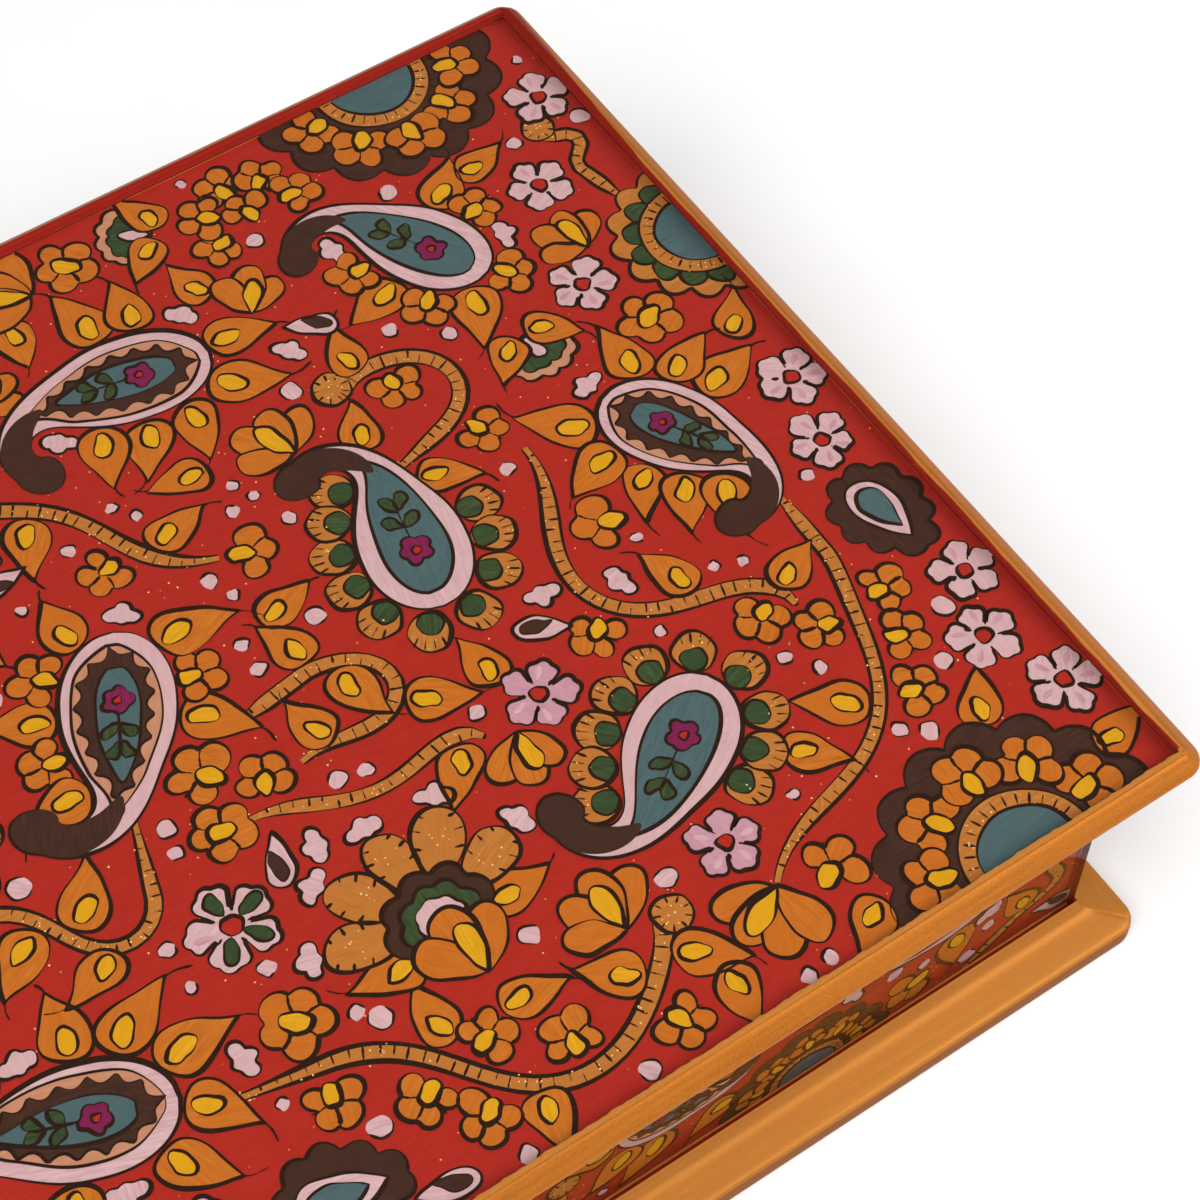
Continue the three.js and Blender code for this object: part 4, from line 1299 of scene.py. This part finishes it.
def paisley_ring(p, here, left, right, s, ring):
    """Leaves, or green-hearted scallops, that stand side by side on the drop's round end and back."""
    skirt = np.vstack([right[s < 0.34][::-1], left[s < 0.56]])
    stops = evenly(skirt, 5.8 if ring == "scallops" else 6.7)
    out = left_of(stops)
    feet, tips = here(stops + out * 0.3), here(stops + out)
    odd = p.rng.integers(0, 6)
    for k, (foot, tip) in enumerate(zip(feet, tips)):
        way = way_of(tip - foot)
        level = LEAF_LEVEL + 3 * FINE * (k % 3)
        if ring == "scallops":
            p.shape("tan", placed(oval(7.6, 7.2), foot, way), level, level + 2 * FINE, way)
            p.shape("green", placed(oval(4.4, 4.4), foot, way), level + FINE, level + 2 * FINE, way, 0.4)
            bars(p, foot, way + 0.5 * np.array([-0.8, -0.3, 0.2, 0.7]), 7.3, 5.2, level + 2 * FINE)
            sprinkle(p, foot[None] + 5.2 * toward(way), 1.6, level + 3 * FINE, 3)
        elif k % 6 == odd:
            cloud(p, foot + (tip - foot) * 3.4, way)
        elif ring == "mixed" and k % 2:
            blossom(p, foot + (tip - foot) * 4.6, way, 5.0, 4, level)
        else:
            bud(p, foot, way, p.rng.uniform(11.0, 13.8), level)


# %% [markdown]
# ## Rosettes on the edges
# Along the pane's edges sit rosettes, cut in half by the frame: a teal disc, a banded ring, a wreath
# of orange blossoms, and a dark scalloped ground under them all.


# %% Half rosettes
def rosette(p, at, inward, size=1.0, wreath=True):
    """Rings round a point on the edge; what falls off the pane is cut by the pane's edge."""
    level = LEAF_LEVEL
    outer = 21.6 if wreath else 15.0
    ground = scalloped(oval(2 * outer, 2 * outer, 60) - (outer, 0), 2.6, 9.0 if wreath else 6.5)
    p.shape("brown" if wreath else "tan", placed(ground, at, inward, size), level, level + FINE)
    if wreath:
        for k, angle in enumerate(np.linspace(-1.28, 1.28, 5)):
            spot = placed(np.array([15.6, 0.0]), at, inward + angle, size)
            blossom(p, spot, inward + angle, 5.5 * size, 4, level + 4 * FINE * (0.5 + k % 3))
    else:
        for angle in np.linspace(-1.4, 1.4, 7):
            petal = oval(6.4, 5.4) + (8.2, 0)
            p.shape("green", placed(petal, at, inward + angle, size), level + FINE, level + 2 * FINE)
    ring, disc = 11.2 * size, 8.2 * size
    top = level + 14 * FINE
    p.shape("tan", placed(oval(2 * ring, 2 * ring, 60) - (ring, 0), at, inward), top, top + FINE)
    p.shape("teal", placed(oval(2 * disc, 2 * disc, 60) - (disc, 0), at, inward), top + FINE, top + 2 * FINE)
    ways = inward + np.linspace(-1.5, 1.5, 15)
    bars(p, at, ways, disc + 0.2, disc + 0.75 * (ring - disc), top + 2 * FINE)
    along_ring = arc((0, 0), ((ring + disc) / 2,) * 2, -80, 80, 40)
    sprinkle(p, placed(along_ring, at, inward), 1.2, top + 3 * FINE, 22)


# %% [markdown]
# ## Filling a pane
# The painter sets the large motifs first, lets long vines wander between them while there is room,
# and then fills what is left with large flowers, short vines and ever smaller things. Each is set
# snugly beside what is there and faces away from it.


# %% Filling
def wander(p, length):
    """The path of a vine: a random start and a heading that swings by one or two slow waves."""
    start = p.rng.uniform(-p.half, p.half)
    s = np.linspace(0, 1, int(length / 2))
    swing = p.rng.uniform(-2.4, 2.4) * s
    swing = swing + p.rng.uniform(0.4, 1.0) * np.sin(2 * np.pi * s * p.rng.uniform(0.7, 1.3))
    heading = p.rng.uniform(0, 2 * np.pi) + swing + 1.4 * p.rng.choice([-1, 1]) * np.exp(-s / 0.1)
    return start + np.cumsum(np.column_stack([np.cos(heading), np.sin(heading)]), axis=0) * length / len(s)


def reach_out(p, path, most=13):
    """The path led on in its last direction until it meets something painted, or else as it was."""
    step = path[-1] - path[-2]
    ahead = path[-1] + np.arange(1, most)[:, None] * step / np.linalg.norm(step)
    met = p.covered[p.cells(ahead)] | (np.abs(ahead) > p.half).any(axis=1)
    return np.vstack([path, ahead[: np.argmax(met) + 2]]) if met.any() else path


def grow_vines(p, lengths, tries):
    """Tries paths of each length in turn, and paints those that find room along their whole way."""
    grown = []
    for length in lengths:
        for _ in range(tries):
            path = wander(p, length)
            if p.room(path, VINE_ROOM):
                knob = p.rng.uniform() < KNOB_SHARE
                led = reach_out(p, path)
                led = led if knob else reach_out(p, led[::-1])[::-1]
                ribbon_vine(p, led, p.rng.uniform(2.4, 2.9), knob)
                grown.append(led)
                break
    for path in grown:
        end_of_vine(p, path)
    for path in grown:
        along_vine(p, path)
    return len(grown)


def fill_gaps(p, motif, clear, most, back=0.0, **options):
    """Paints most motifs at most, each in a snug place and facing away from its nearest neighbour.
    A motif that starts at its foot is moved back, so that its middle is at the place."""
    for done in range(most):
        places = p.snug_places(clear)
        if not len(places):
            return done
        at = places[p.rng.integers(len(places))]
        way = p.away(at) + p.rng.uniform(-0.5, 0.5)
        motif(p, at - back * toward(way), way, **options)
    return most


def fill_pane(p, share=1.0):
    """The small things, from the largest to the dots, and a dust of glitter over everything."""
    counts = {
        "umbels": fill_gaps(p, umbel, 8.6, int(7 * share), 4.0),
        "tulips": fill_gaps(p, tulip, 7.8, int(8 * share), 4.2),
        "dark": fill_gaps(p, dark_rosette, 8.0, int(3 * share)),
        "sprays": fill_gaps(p, spray, 5.8, int(22 * share), 5.4),
        "pink": fill_gaps(p, pink_blossom, 6.2, int(6 * share)),
        "blossoms": fill_gaps(p, blossom, 5.6, int(26 * share)),
        "drops": fill_gaps(p, dark_drop, 4.0, int(10 * share), 5.0, length=9.5),
        "buds": fill_gaps(p, bud, 4.3, int(54 * share), 5.6, length=10.8),
        "small": fill_gaps(p, blossom, 4.3, int(12 * share), size=4.1, count=3),
        "clouds": fill_gaps(p, cloud, 3.6, int(8 * share)),
        "pips": fill_gaps(p, pip, 2.5, int(84 * share)),
    }
    on_pane = p.centres[MAP_MARGIN:-MAP_MARGIN, MAP_MARGIN:-MAP_MARGIN]
    sprinkle(p, on_pane.reshape(-1, 2), 1.0, 0.5, int(900 * share))
    return counts


# %% [markdown]
# ## The lid's painting
# Curled drops stand in three loose rows, no two leaning the same way, and half rosettes sit at even
# spacing along the edges. One great fan flower takes the place of a drop in the front row.

# %% Painting the lid
LID_DROPS = (
    (-92, 56, 205, 44, 1, True, "buds"),
    (-38, 58, 335, 42, -1, False, "mixed"),
    (24, 60, 170, 45, 1, True, "buds"),
    (80, 56, 120, 41, 1, False, "mixed"),
    (-66, 4, 60, 42, 1, True, "buds"),
    (-10, 5, 245, 45, -1, True, "mixed"),
    (44, 3, 80, 43, 1, False, "scallops"),
    (92, 2, 300, 41, -1, True, "buds"),
    (-100, -48, 20, 42, -1, False, "scallops"),
    (-46, -55, 160, 44, -1, True, "buds"),
    (60, -50, 215, 42, -1, False, "scallops"),
)
LID_RUFFLED = ((-114, 22, 80), (2, 86, 185), (113, -40, 100), (-16, -86, 170))
LID_FAN = (13, -67, 95)
# Width and level of a thin dark red line round the lid's painting, as painted shade where the glass meets the
# frame
SHADE_LINE_WIDTH = 0.28
SHADE_LINE_LEVEL = 10.2
lid_glass_half = glass_high[:2] + 0.1


def paint_lid():
    """The order of work: edge rosettes, curled drops, ruffled drops, vines, and then the gaps."""
    p = Painting(*lid_glass_half, seed=5)
    half_x, half_y = p.half
    for x in (-92.0, 92.0):
        rosette(p, (x, -half_y), np.pi / 2)
        rosette(p, (x, half_y), -np.pi / 2)
    for sign in (-1, 1):
        rosette(p, (sign * half_x, 34.0), np.pi * (sign > 0), 0.9, wreath=False)
    rosette(p, (-60.0, half_y), -np.pi / 2, 0.9, wreath=False)
    for x, y, turn, length, flip, rich, ring in LID_DROPS:
        paisley(p, (x, y), np.radians(turn), length, flip, rich, ring)
    for x, y, turn in LID_RUFFLED:
        ruffled_drop(p, (x, y), np.radians(turn), 14.0)
    fan_flower(p, LID_FAN[:2], np.radians(LID_FAN[2]), 1.08)
    long_vines = grow_vines(p, [70.0] * 5 + [54.0] * 6 + [42.0] * 6, 300)
    early = (
        fill_gaps(p, pink_blossom, 8.2, 4, size=7.8, leaves=True),
        fill_gaps(p, pink_blossom, 7.0, 9, size=6.6, leaves=False),
        fill_gaps(p, umbel, 9.8, 4, 4.0),
        fill_gaps(p, tulip, 8.2, 4, 4.2),
        fill_gaps(p, dark_rosette, 8.6, 2),
        fill_gaps(p, spray, 6.4, 4, 5.8, length=12.0, count=4),
        fill_gaps(p, pink_blossom, 6.6, 6, size=6.2, leaves=False),
    )
    print("large flowers:", early)
    short_vines = grow_vines(p, [42.0] * 4 + [30.0] * 10 + [20.0] * 8, 250)
    print("lid vines:", long_vines, short_vines, fill_pane(p))
    # A thin dark red line along each of the pane's four edges, as painted shade where the glass meets the
    # frame
    for axis in range(2):
        for sign in (-1, 1):
            strip = np.zeros((4, 2))
            strip[:, axis] = sign * (p.half[axis] - np.array([0.0, 0.0, SHADE_LINE_WIDTH, SHADE_LINE_WIDTH]))
            strip[:, 1 - axis] = p.half[1 - axis] * np.array([-1, 1, 1, -1])
            p.fill("edge", strip, SHADE_LINE_LEVEL)
    return p


lid_painting = paint_lid()

# %% [markdown]
# ## From strokes to films of paint
# Each colour of a pane becomes one mesh: a flat face for each filled outline, and a strip of faces
# for each line of ink. The films of the lid face up, and those of a side face away from the box.

# %% Films
PAINT_BED = 0.02
LEAST_AREA = 0.01
INK_TINT = 0.5
TINT_SHIFT = 37.0
BOX_SIGNS = np.array([(-1, -1), (1, -1), (1, 1), (-1, 1)])


def film_object(name, outlines, ribbons, to_space, material):
    """One mesh from outlines and ribbons. to_space turns (across, up, level) into a place in space. The
    pattern is shifted from stroke to stroke by its tint, so that no two are streaked alike."""
    flat, levels, brush, tints, faces, first = [], [], [], [], [], 0
    for outline, level, along, tint in outlines:
        if abs(signed_area(outline)) < LEAST_AREA:
            continue
        turned = outline if signed_area(outline) > 0 else outline[::-1]
        flat.append(turned)
        levels.append(np.full(len(turned), level))
        brush.append(placed(turned, (0, 0), -along) + TINT_SHIFT * tint)
        tints.append(tint)
        faces.append(np.arange(first, first + len(turned)).tolist())
        first += len(turned)
    for left, right, level, closed in ribbons:
        count = len(left)
        cells = np.arange(count if closed else count - 1)
        following = (cells + 1) % count
        quads = np.column_stack([cells, following, following + count, cells + count]) + first
        flat.append(np.vstack([left, right]))
        levels.append(np.full(2 * count, level))
        brush.append(np.vstack([left, right]))
        tints += [INK_TINT] * len(quads)
        faces += quads.tolist()
        first += 2 * count
    points = to_space(np.vstack(flat), np.concatenate(levels))
    film = mesh_piece(name, points, faces, [material], "brush", np.vstack(brush))
    tint_layer = film.data.attributes.new("tint", "FLOAT", "FACE")
    tint_layer.data.foreach_set("value", np.array(tints, np.float32))
    return film


def inside_pane(ribbons, half):
    """The ribbons cut back to the pane, without the stretches that lie wholly outside it."""
    kept = []
    for left, right, level, closed in ribbons:
        on_pane = (np.abs((left + right) / 2) < half).all(axis=1)
        if on_pane.all():
            kept.append((left, right, level, closed))
            continue
        if closed and on_pane.any():
            start = int(np.argmin(on_pane))
            left, right, on_pane = (np.roll(a, -start, axis=0) for a in (left, right, on_pane))
        edges = np.flatnonzero(np.diff(np.concatenate([[0], on_pane.astype(int), [0]])))
        for low, high in edges.reshape(-1, 2):
            if high - low > 1:
                a, b = (np.clip(side[low:high], -half, half) for side in (left, right))
                kept.append((a, b, level, False))
    return kept


def paint_pane(p, prefix, body, to_space):
    """All films of one pane, one for each colour, with the red ground at the back."""
    ground = [(p.half * BOX_SIGNS, 0.0, 0.0, INK_TINT)]
    names = sorted(p.fills) + ["ground", "ink"]
    for colour in names:
        outlines = ground if colour == "ground" else p.fills.get(colour, [])
        ribbons = inside_pane(p.ribbons, p.half) if colour == "ink" else []
        material = enamels["red" if colour == "ground" else colour]
        film = film_object(f"{prefix}_paint_{colour}", outlines, ribbons, to_space, material)
        finish_piece(film, body)
    return len(names)


def lid_space(flat, levels):
    """The lid's films lie just above its board, under the pane, and rise by one coat a level."""
    return np.column_stack([flat, REBATE + PAINT_BED + COAT * levels])


print("lid films:", paint_pane(lid_painting, "lid", "lid", lid_space))

# %% [markdown]
# ## The sides' paintings
# Each side carries one row of the same motifs, standing on the foot moulding.

# %% Painting the sides
BED_DEPTH = 0.3
SIDE_MARGIN = 0.03
EDGE_MARGIN = 0.2
SIDE_DROP_LENGTH = 30.0
DROP_PITCH, END_ROOM = 27, 26


def side_space(turn, face, middle_height):
    """For one side: across runs along the side, up is height, and levels come out towards the pane."""

    def to_space(flat, levels):
        out = face + PAINT_BED + COAT * levels
        return np.column_stack([*quarter_turned(flat[:, 0], -out, turn), flat[:, 1] + middle_height])

    return to_space


def paint_side(half_width, half_height, seed):
    """A row of curled drops with rosettes between them on the lower edge."""
    p = Painting(half_width, half_height, seed)
    count = int(half_width / DROP_PITCH)
    places = np.linspace(END_ROOM - half_width, half_width - END_ROOM, 2 * count - 1)
    for k, x in enumerate(places):
        if k % 2 == 0:
            flip = 1 if k % 4 == 0 else -1
            turn = np.radians(p.rng.uniform(-25, 25)) + (np.pi if flip < 0 else 0)
            paisley(p, (x, p.rng.uniform(-3, 3)), turn, SIDE_DROP_LENGTH, flip, k % 4 == 0, "buds")
        elif k % 4 == 1:
            rosette(p, (x, -half_height), np.pi / 2, 0.72)
    grow_vines(p, [30.0] * 5 + [22.0] * 6, 160)
    fill_pane(p, 0.5)
    return p


for turn, side in enumerate(SIDES):
    pane_low, pane_high = box_in_mm(f"side_glass_{side}")
    axis = turn % 2
    half_width = pane_high[axis] - SIDE_MARGIN
    half_height = (pane_high[2] - pane_low[2]) / 2 - EDGE_MARGIN
    middle_height = (pane_high[2] + pane_low[2]) / 2
    board_face = min(abs(pane_low[1 - axis]), abs(pane_high[1 - axis])) - BED_DEPTH
    painting = paint_side(half_width, half_height, 20 + turn)
    films = paint_pane(painting, f"{side}_side", "case", side_space(turn, board_face, middle_height))
    print(side, "films:", films)

# %% [markdown]
# ## Panes
# A pane is a sheet of float glass with clear faces and rough cut edges that are bedded in paint. A
# cut edge left clear would mirror the painting by total reflection, which shows as a bright strip
# along the frame, so the four narrow faces get an opaque enamel. The sides' cut ends also show at
# the corners, and a film of red brown paint closes each of them.

# %% Panes
def pane_object(name, low, high, clear, edge_paint):
    """A pane of glass as a plain box between two corners: six faces, all facing outwards. Its two
    large faces are clear, and its four edges are bedded in paint."""
    share = np.array([(0, 0, 0), (1, 0, 0), (1, 1, 0), (0, 1, 0), (0, 0, 1), (1, 0, 1), (1, 1, 1), (0, 1, 1)])
    faces = [(0, 3, 2, 1), (4, 5, 6, 7), (0, 1, 5, 4), (1, 2, 6, 5), (2, 3, 7, 6), (3, 0, 4, 7)]
    pane = mesh_piece(name, low + share * (high - low), faces, [clear, edge_paint])
    large = {0: (3, 5), 1: (2, 4), 2: (0, 1)}[int(np.argmin(high - low))]
    for k in set(range(6)) - set(large):
        pane.data.polygons[k].material_index = 1
    return pane


for node in ["lid_glass"] + [f"side_glass_{side}" for side in SIDES]:
    on_lid = node == "lid_glass"
    clear, edge_paint = (glass, enamels["red"]) if on_lid else (side_glass, enamels["end"])
    pane = pane_object(f"pane_of_{node}", *box_in_mm(node), clear, edge_paint)
    finish_piece(pane, "lid" if on_lid else "case", [node])

# %% Painted ends of the front and back panes
END_OUT = 0.02
pane_low, pane_high = box_in_mm("side_glass_front")
low, high = pane_low[2] + 0.1, pane_high[2] - 0.05
for sign_x in (-1, 1):
    for sign_y in (-1, 1):
        x = sign_x * (pane_high[0] + END_OUT)
        near, far = sign_y * (pane_high[1] + BED_DEPTH - 0.01), sign_y * (pane_low[1] - END_OUT)
        corners = np.array([(x, near, low), (x, far, low), (x, far, high), (x, near, high)])
        order = [0, 1, 2, 3] if sign_x * (far - near) > 0 else [3, 2, 1, 0]
        name = f"painted_end_{'right' if sign_x > 0 else 'left'}_{'back' if sign_y > 0 else 'front'}"
        end = mesh_piece(name, corners, [order], [enamels["end"]], "brush", np.zeros((4, 2)))
        finish_piece(end, "case")

# %% [markdown]
# ## Gold over the glass
# The frame was painted after the pane went in, and the brush ran a little over the glass, with a
# ragged edge. It is a film of paint of its own, because the pane under it stays clear.

# %% Ragged gold edge on the lid
LAP_STEP = 0.35
LAP_FILM = 0.02
LAP_LEAST, LAP_MOST = 0.03, 1.8
WAVE_LENGTHS = np.array([41.0, 23.0, 11.0, 6.1, 3.7, 2.3, 1.4])
WAVE_STRENGTHS = np.array([0.16, 0.13, 0.12, 0.11, 0.11, 0.10, 0.07])

# For each side: the mean reach over the glass, the raggedness, and where on the rim the strip starts
LAPS = {
    "front": (0.16, 0.36, 2.95),
    "right": (0.3, 0.14, 3.2),
    "back": (0.1, 0.1, 3.2),
    "left": (0.3, 0.14, 3.2),
}


def lap_object(side, turn, mean, share, start):
    """A strip along one edge, from the rim's flat top over the joint to a ragged line on the glass.
    The line's distance from the joint is a mean plus a share of a sum of waves of many lengths."""
    half_along, half_across = LID_HALF[turn % 2] - GLASS_INSET, LID_HALF[1 - turn % 2]
    x = np.arange(-half_along, half_along + LAP_STEP, LAP_STEP).clip(-half_along, half_along)
    rng = np.random.default_rng(3 + turn)
    phase = rng.uniform(0, 2 * np.pi, len(WAVE_LENGTHS))
    ragged = (WAVE_STRENGTHS * np.sin(2 * np.pi * x[:, None] / WAVE_LENGTHS + phase)).sum(axis=1)
    reach = np.clip(mean + share * ragged, LAP_LEAST, LAP_MOST)
    on_rim, on_glass = LID_TOP - 0.01, glass_high[2] + LAP_FILM + 0.002 * turn
    inner = GLASS_INSET + PANE_GAP
    insets = (start, inner - 0.1, inner + 0.8 * reach, inner + reach)
    heights = (on_rim, on_rim, on_glass + LAP_FILM, on_glass - 0.015)
    y = np.concatenate([inset - half_across + np.zeros(len(x)) for inset in insets])
    z = np.repeat(heights, len(x))
    along = np.tile(x, 4)
    points = np.column_stack([*quarter_turned(along, y, turn), z])
    faces = grid_faces(4, len(x), closed_columns=False)[:, ::-1].tolist()
    uv = np.column_stack([along + MAP_SHIFT_ALONG * turn, np.repeat([0.0, 0.5, 1.2, 1.5], len(x))]) * MM
    return mesh_piece(f"gold_lap_on_lid_glass_{side}", points, faces, [gold_paint], "along_rail", uv)


for turn, side in enumerate(SIDES):
    finish_piece(lap_object(side, turn, *LAPS[side]), "lid")

# %% [markdown]
# ## Linings
# The floor pad and the wall linings are card wrapped in velvet, with a thin wad under it. Each is a
# closed cushion form: its face is crowned, its edges turn down, and its sides draw in a little
# between the corners. Velvet this short needs no simulated cloth, so the form is a formula.

# %% Velvet pads
PAD_CELLS = 44
PAD_PULL = 0.5
SEAM_SHARE = 0.3


def pad_object(name, low, high, face_axis, face_sign):
    """A cushion between two corners. u and w run from -1 to 1 over its face: the face's height falls
    off at the edges as sqrt((1 - u^8)(1 - w^8)), with a crown of (1 - u^2)(1 - w^2) on top, and the
    sides draw in by PAD_PULL (1 - w^2)."""
    axes = [k for k in range(3) if k != face_axis]
    span = np.linspace(-1, 1, PAD_CELLS + 1)
    span = np.sign(span) * (1 - (1 - np.abs(span)) ** 1.8)
    u, w = np.meshgrid(span, span, indexing="ij")
    middle, half = (low + high) / 2, (high - low) / 2
    edge = np.sqrt(np.clip((1 - u**8) * (1 - w**8), 0, 1))
    crown = (1 - u**2) * (1 - w**2)
    rng = np.random.default_rng(len(name))
    phase = rng.uniform(0, 2 * np.pi, 2)
    ripple = 0.04 * np.sin(5 * u + phase[0]) * np.sin(4 * w + phase[1])
    rise = edge * (0.82 + 0.14 * crown + ripple)
    depth = high[face_axis] - low[face_axis]
    face = np.zeros((*u.shape, 3))
    face[..., axes[0]] = middle[axes[0]] + u * (half[axes[0]] - PAD_PULL * (1 - w**2))
    face[..., axes[1]] = middle[axes[1]] + w * (half[axes[1]] - PAD_PULL * (1 - u**2))
    back = face.copy()
    base, top = (low, high) if face_sign > 0 else (high, low)
    seam = base[face_axis] + face_sign * SEAM_SHARE * depth
    face[..., face_axis] = seam + face_sign * (1 - SEAM_SHARE) * depth * rise
    back[..., face_axis] = seam - face_sign * SEAM_SHARE * depth * edge
    count = (PAD_CELLS + 1) ** 2
    cells = grid_faces(PAD_CELLS + 1, PAD_CELLS + 1, closed_columns=False)
    looks_out = (face_axis == 1) != (face_sign > 0)
    front_cells, back_cells = (cells, cells[:, ::-1]) if looks_out else (cells[:, ::-1], cells)

    # Face and back share the points of the rim, so those of the back's rim are left out
    rim = ((np.abs(u) == 1) | (np.abs(w) == 1)).ravel()
    shared = np.concatenate([np.arange(count), np.where(rim, np.arange(count), np.arange(count) + count)])
    used, faces = np.unique(shared[np.vstack([front_cells, back_cells + count])], return_inverse=True)
    points = np.vstack([face.reshape(-1, 3), back.reshape(-1, 3)])[used]
    return mesh_piece(name, points, faces.reshape(-1, 4).tolist(), [velvet], smooth=True)


PADS = {
    "floor_pad": ("case", 2, 1),
    "wall_lining_front": ("case", 1, 1),
    "wall_lining_back": ("case", 1, -1),
    "wall_lining_left": ("case", 0, 1),
    "wall_lining_right": ("case", 0, -1),
    "lid_lining": ("lid", 2, -1),
}
for node, (body, face_axis, face_sign) in PADS.items():
    low, high = box_in_mm(node)
    pad = pad_object(f"velvet_{node}", low, high, face_axis, face_sign)
    finish_piece(pad, body, [node])

# %% [markdown]
# ## Finishes of the solids that stay
# Boards and hinges keep the solids of the frame, and get their finish here.

# %% Finish by name
for name, node in nodes.items():
    if node.hide_render:
        continue
    if "hinge" in name:
        chosen = brass
    elif name.endswith(("left", "right")):
        chosen = wood_along_y
    else:
        chosen = wood_along_x
    node.data.materials.clear()
    node.data.materials.append(chosen)
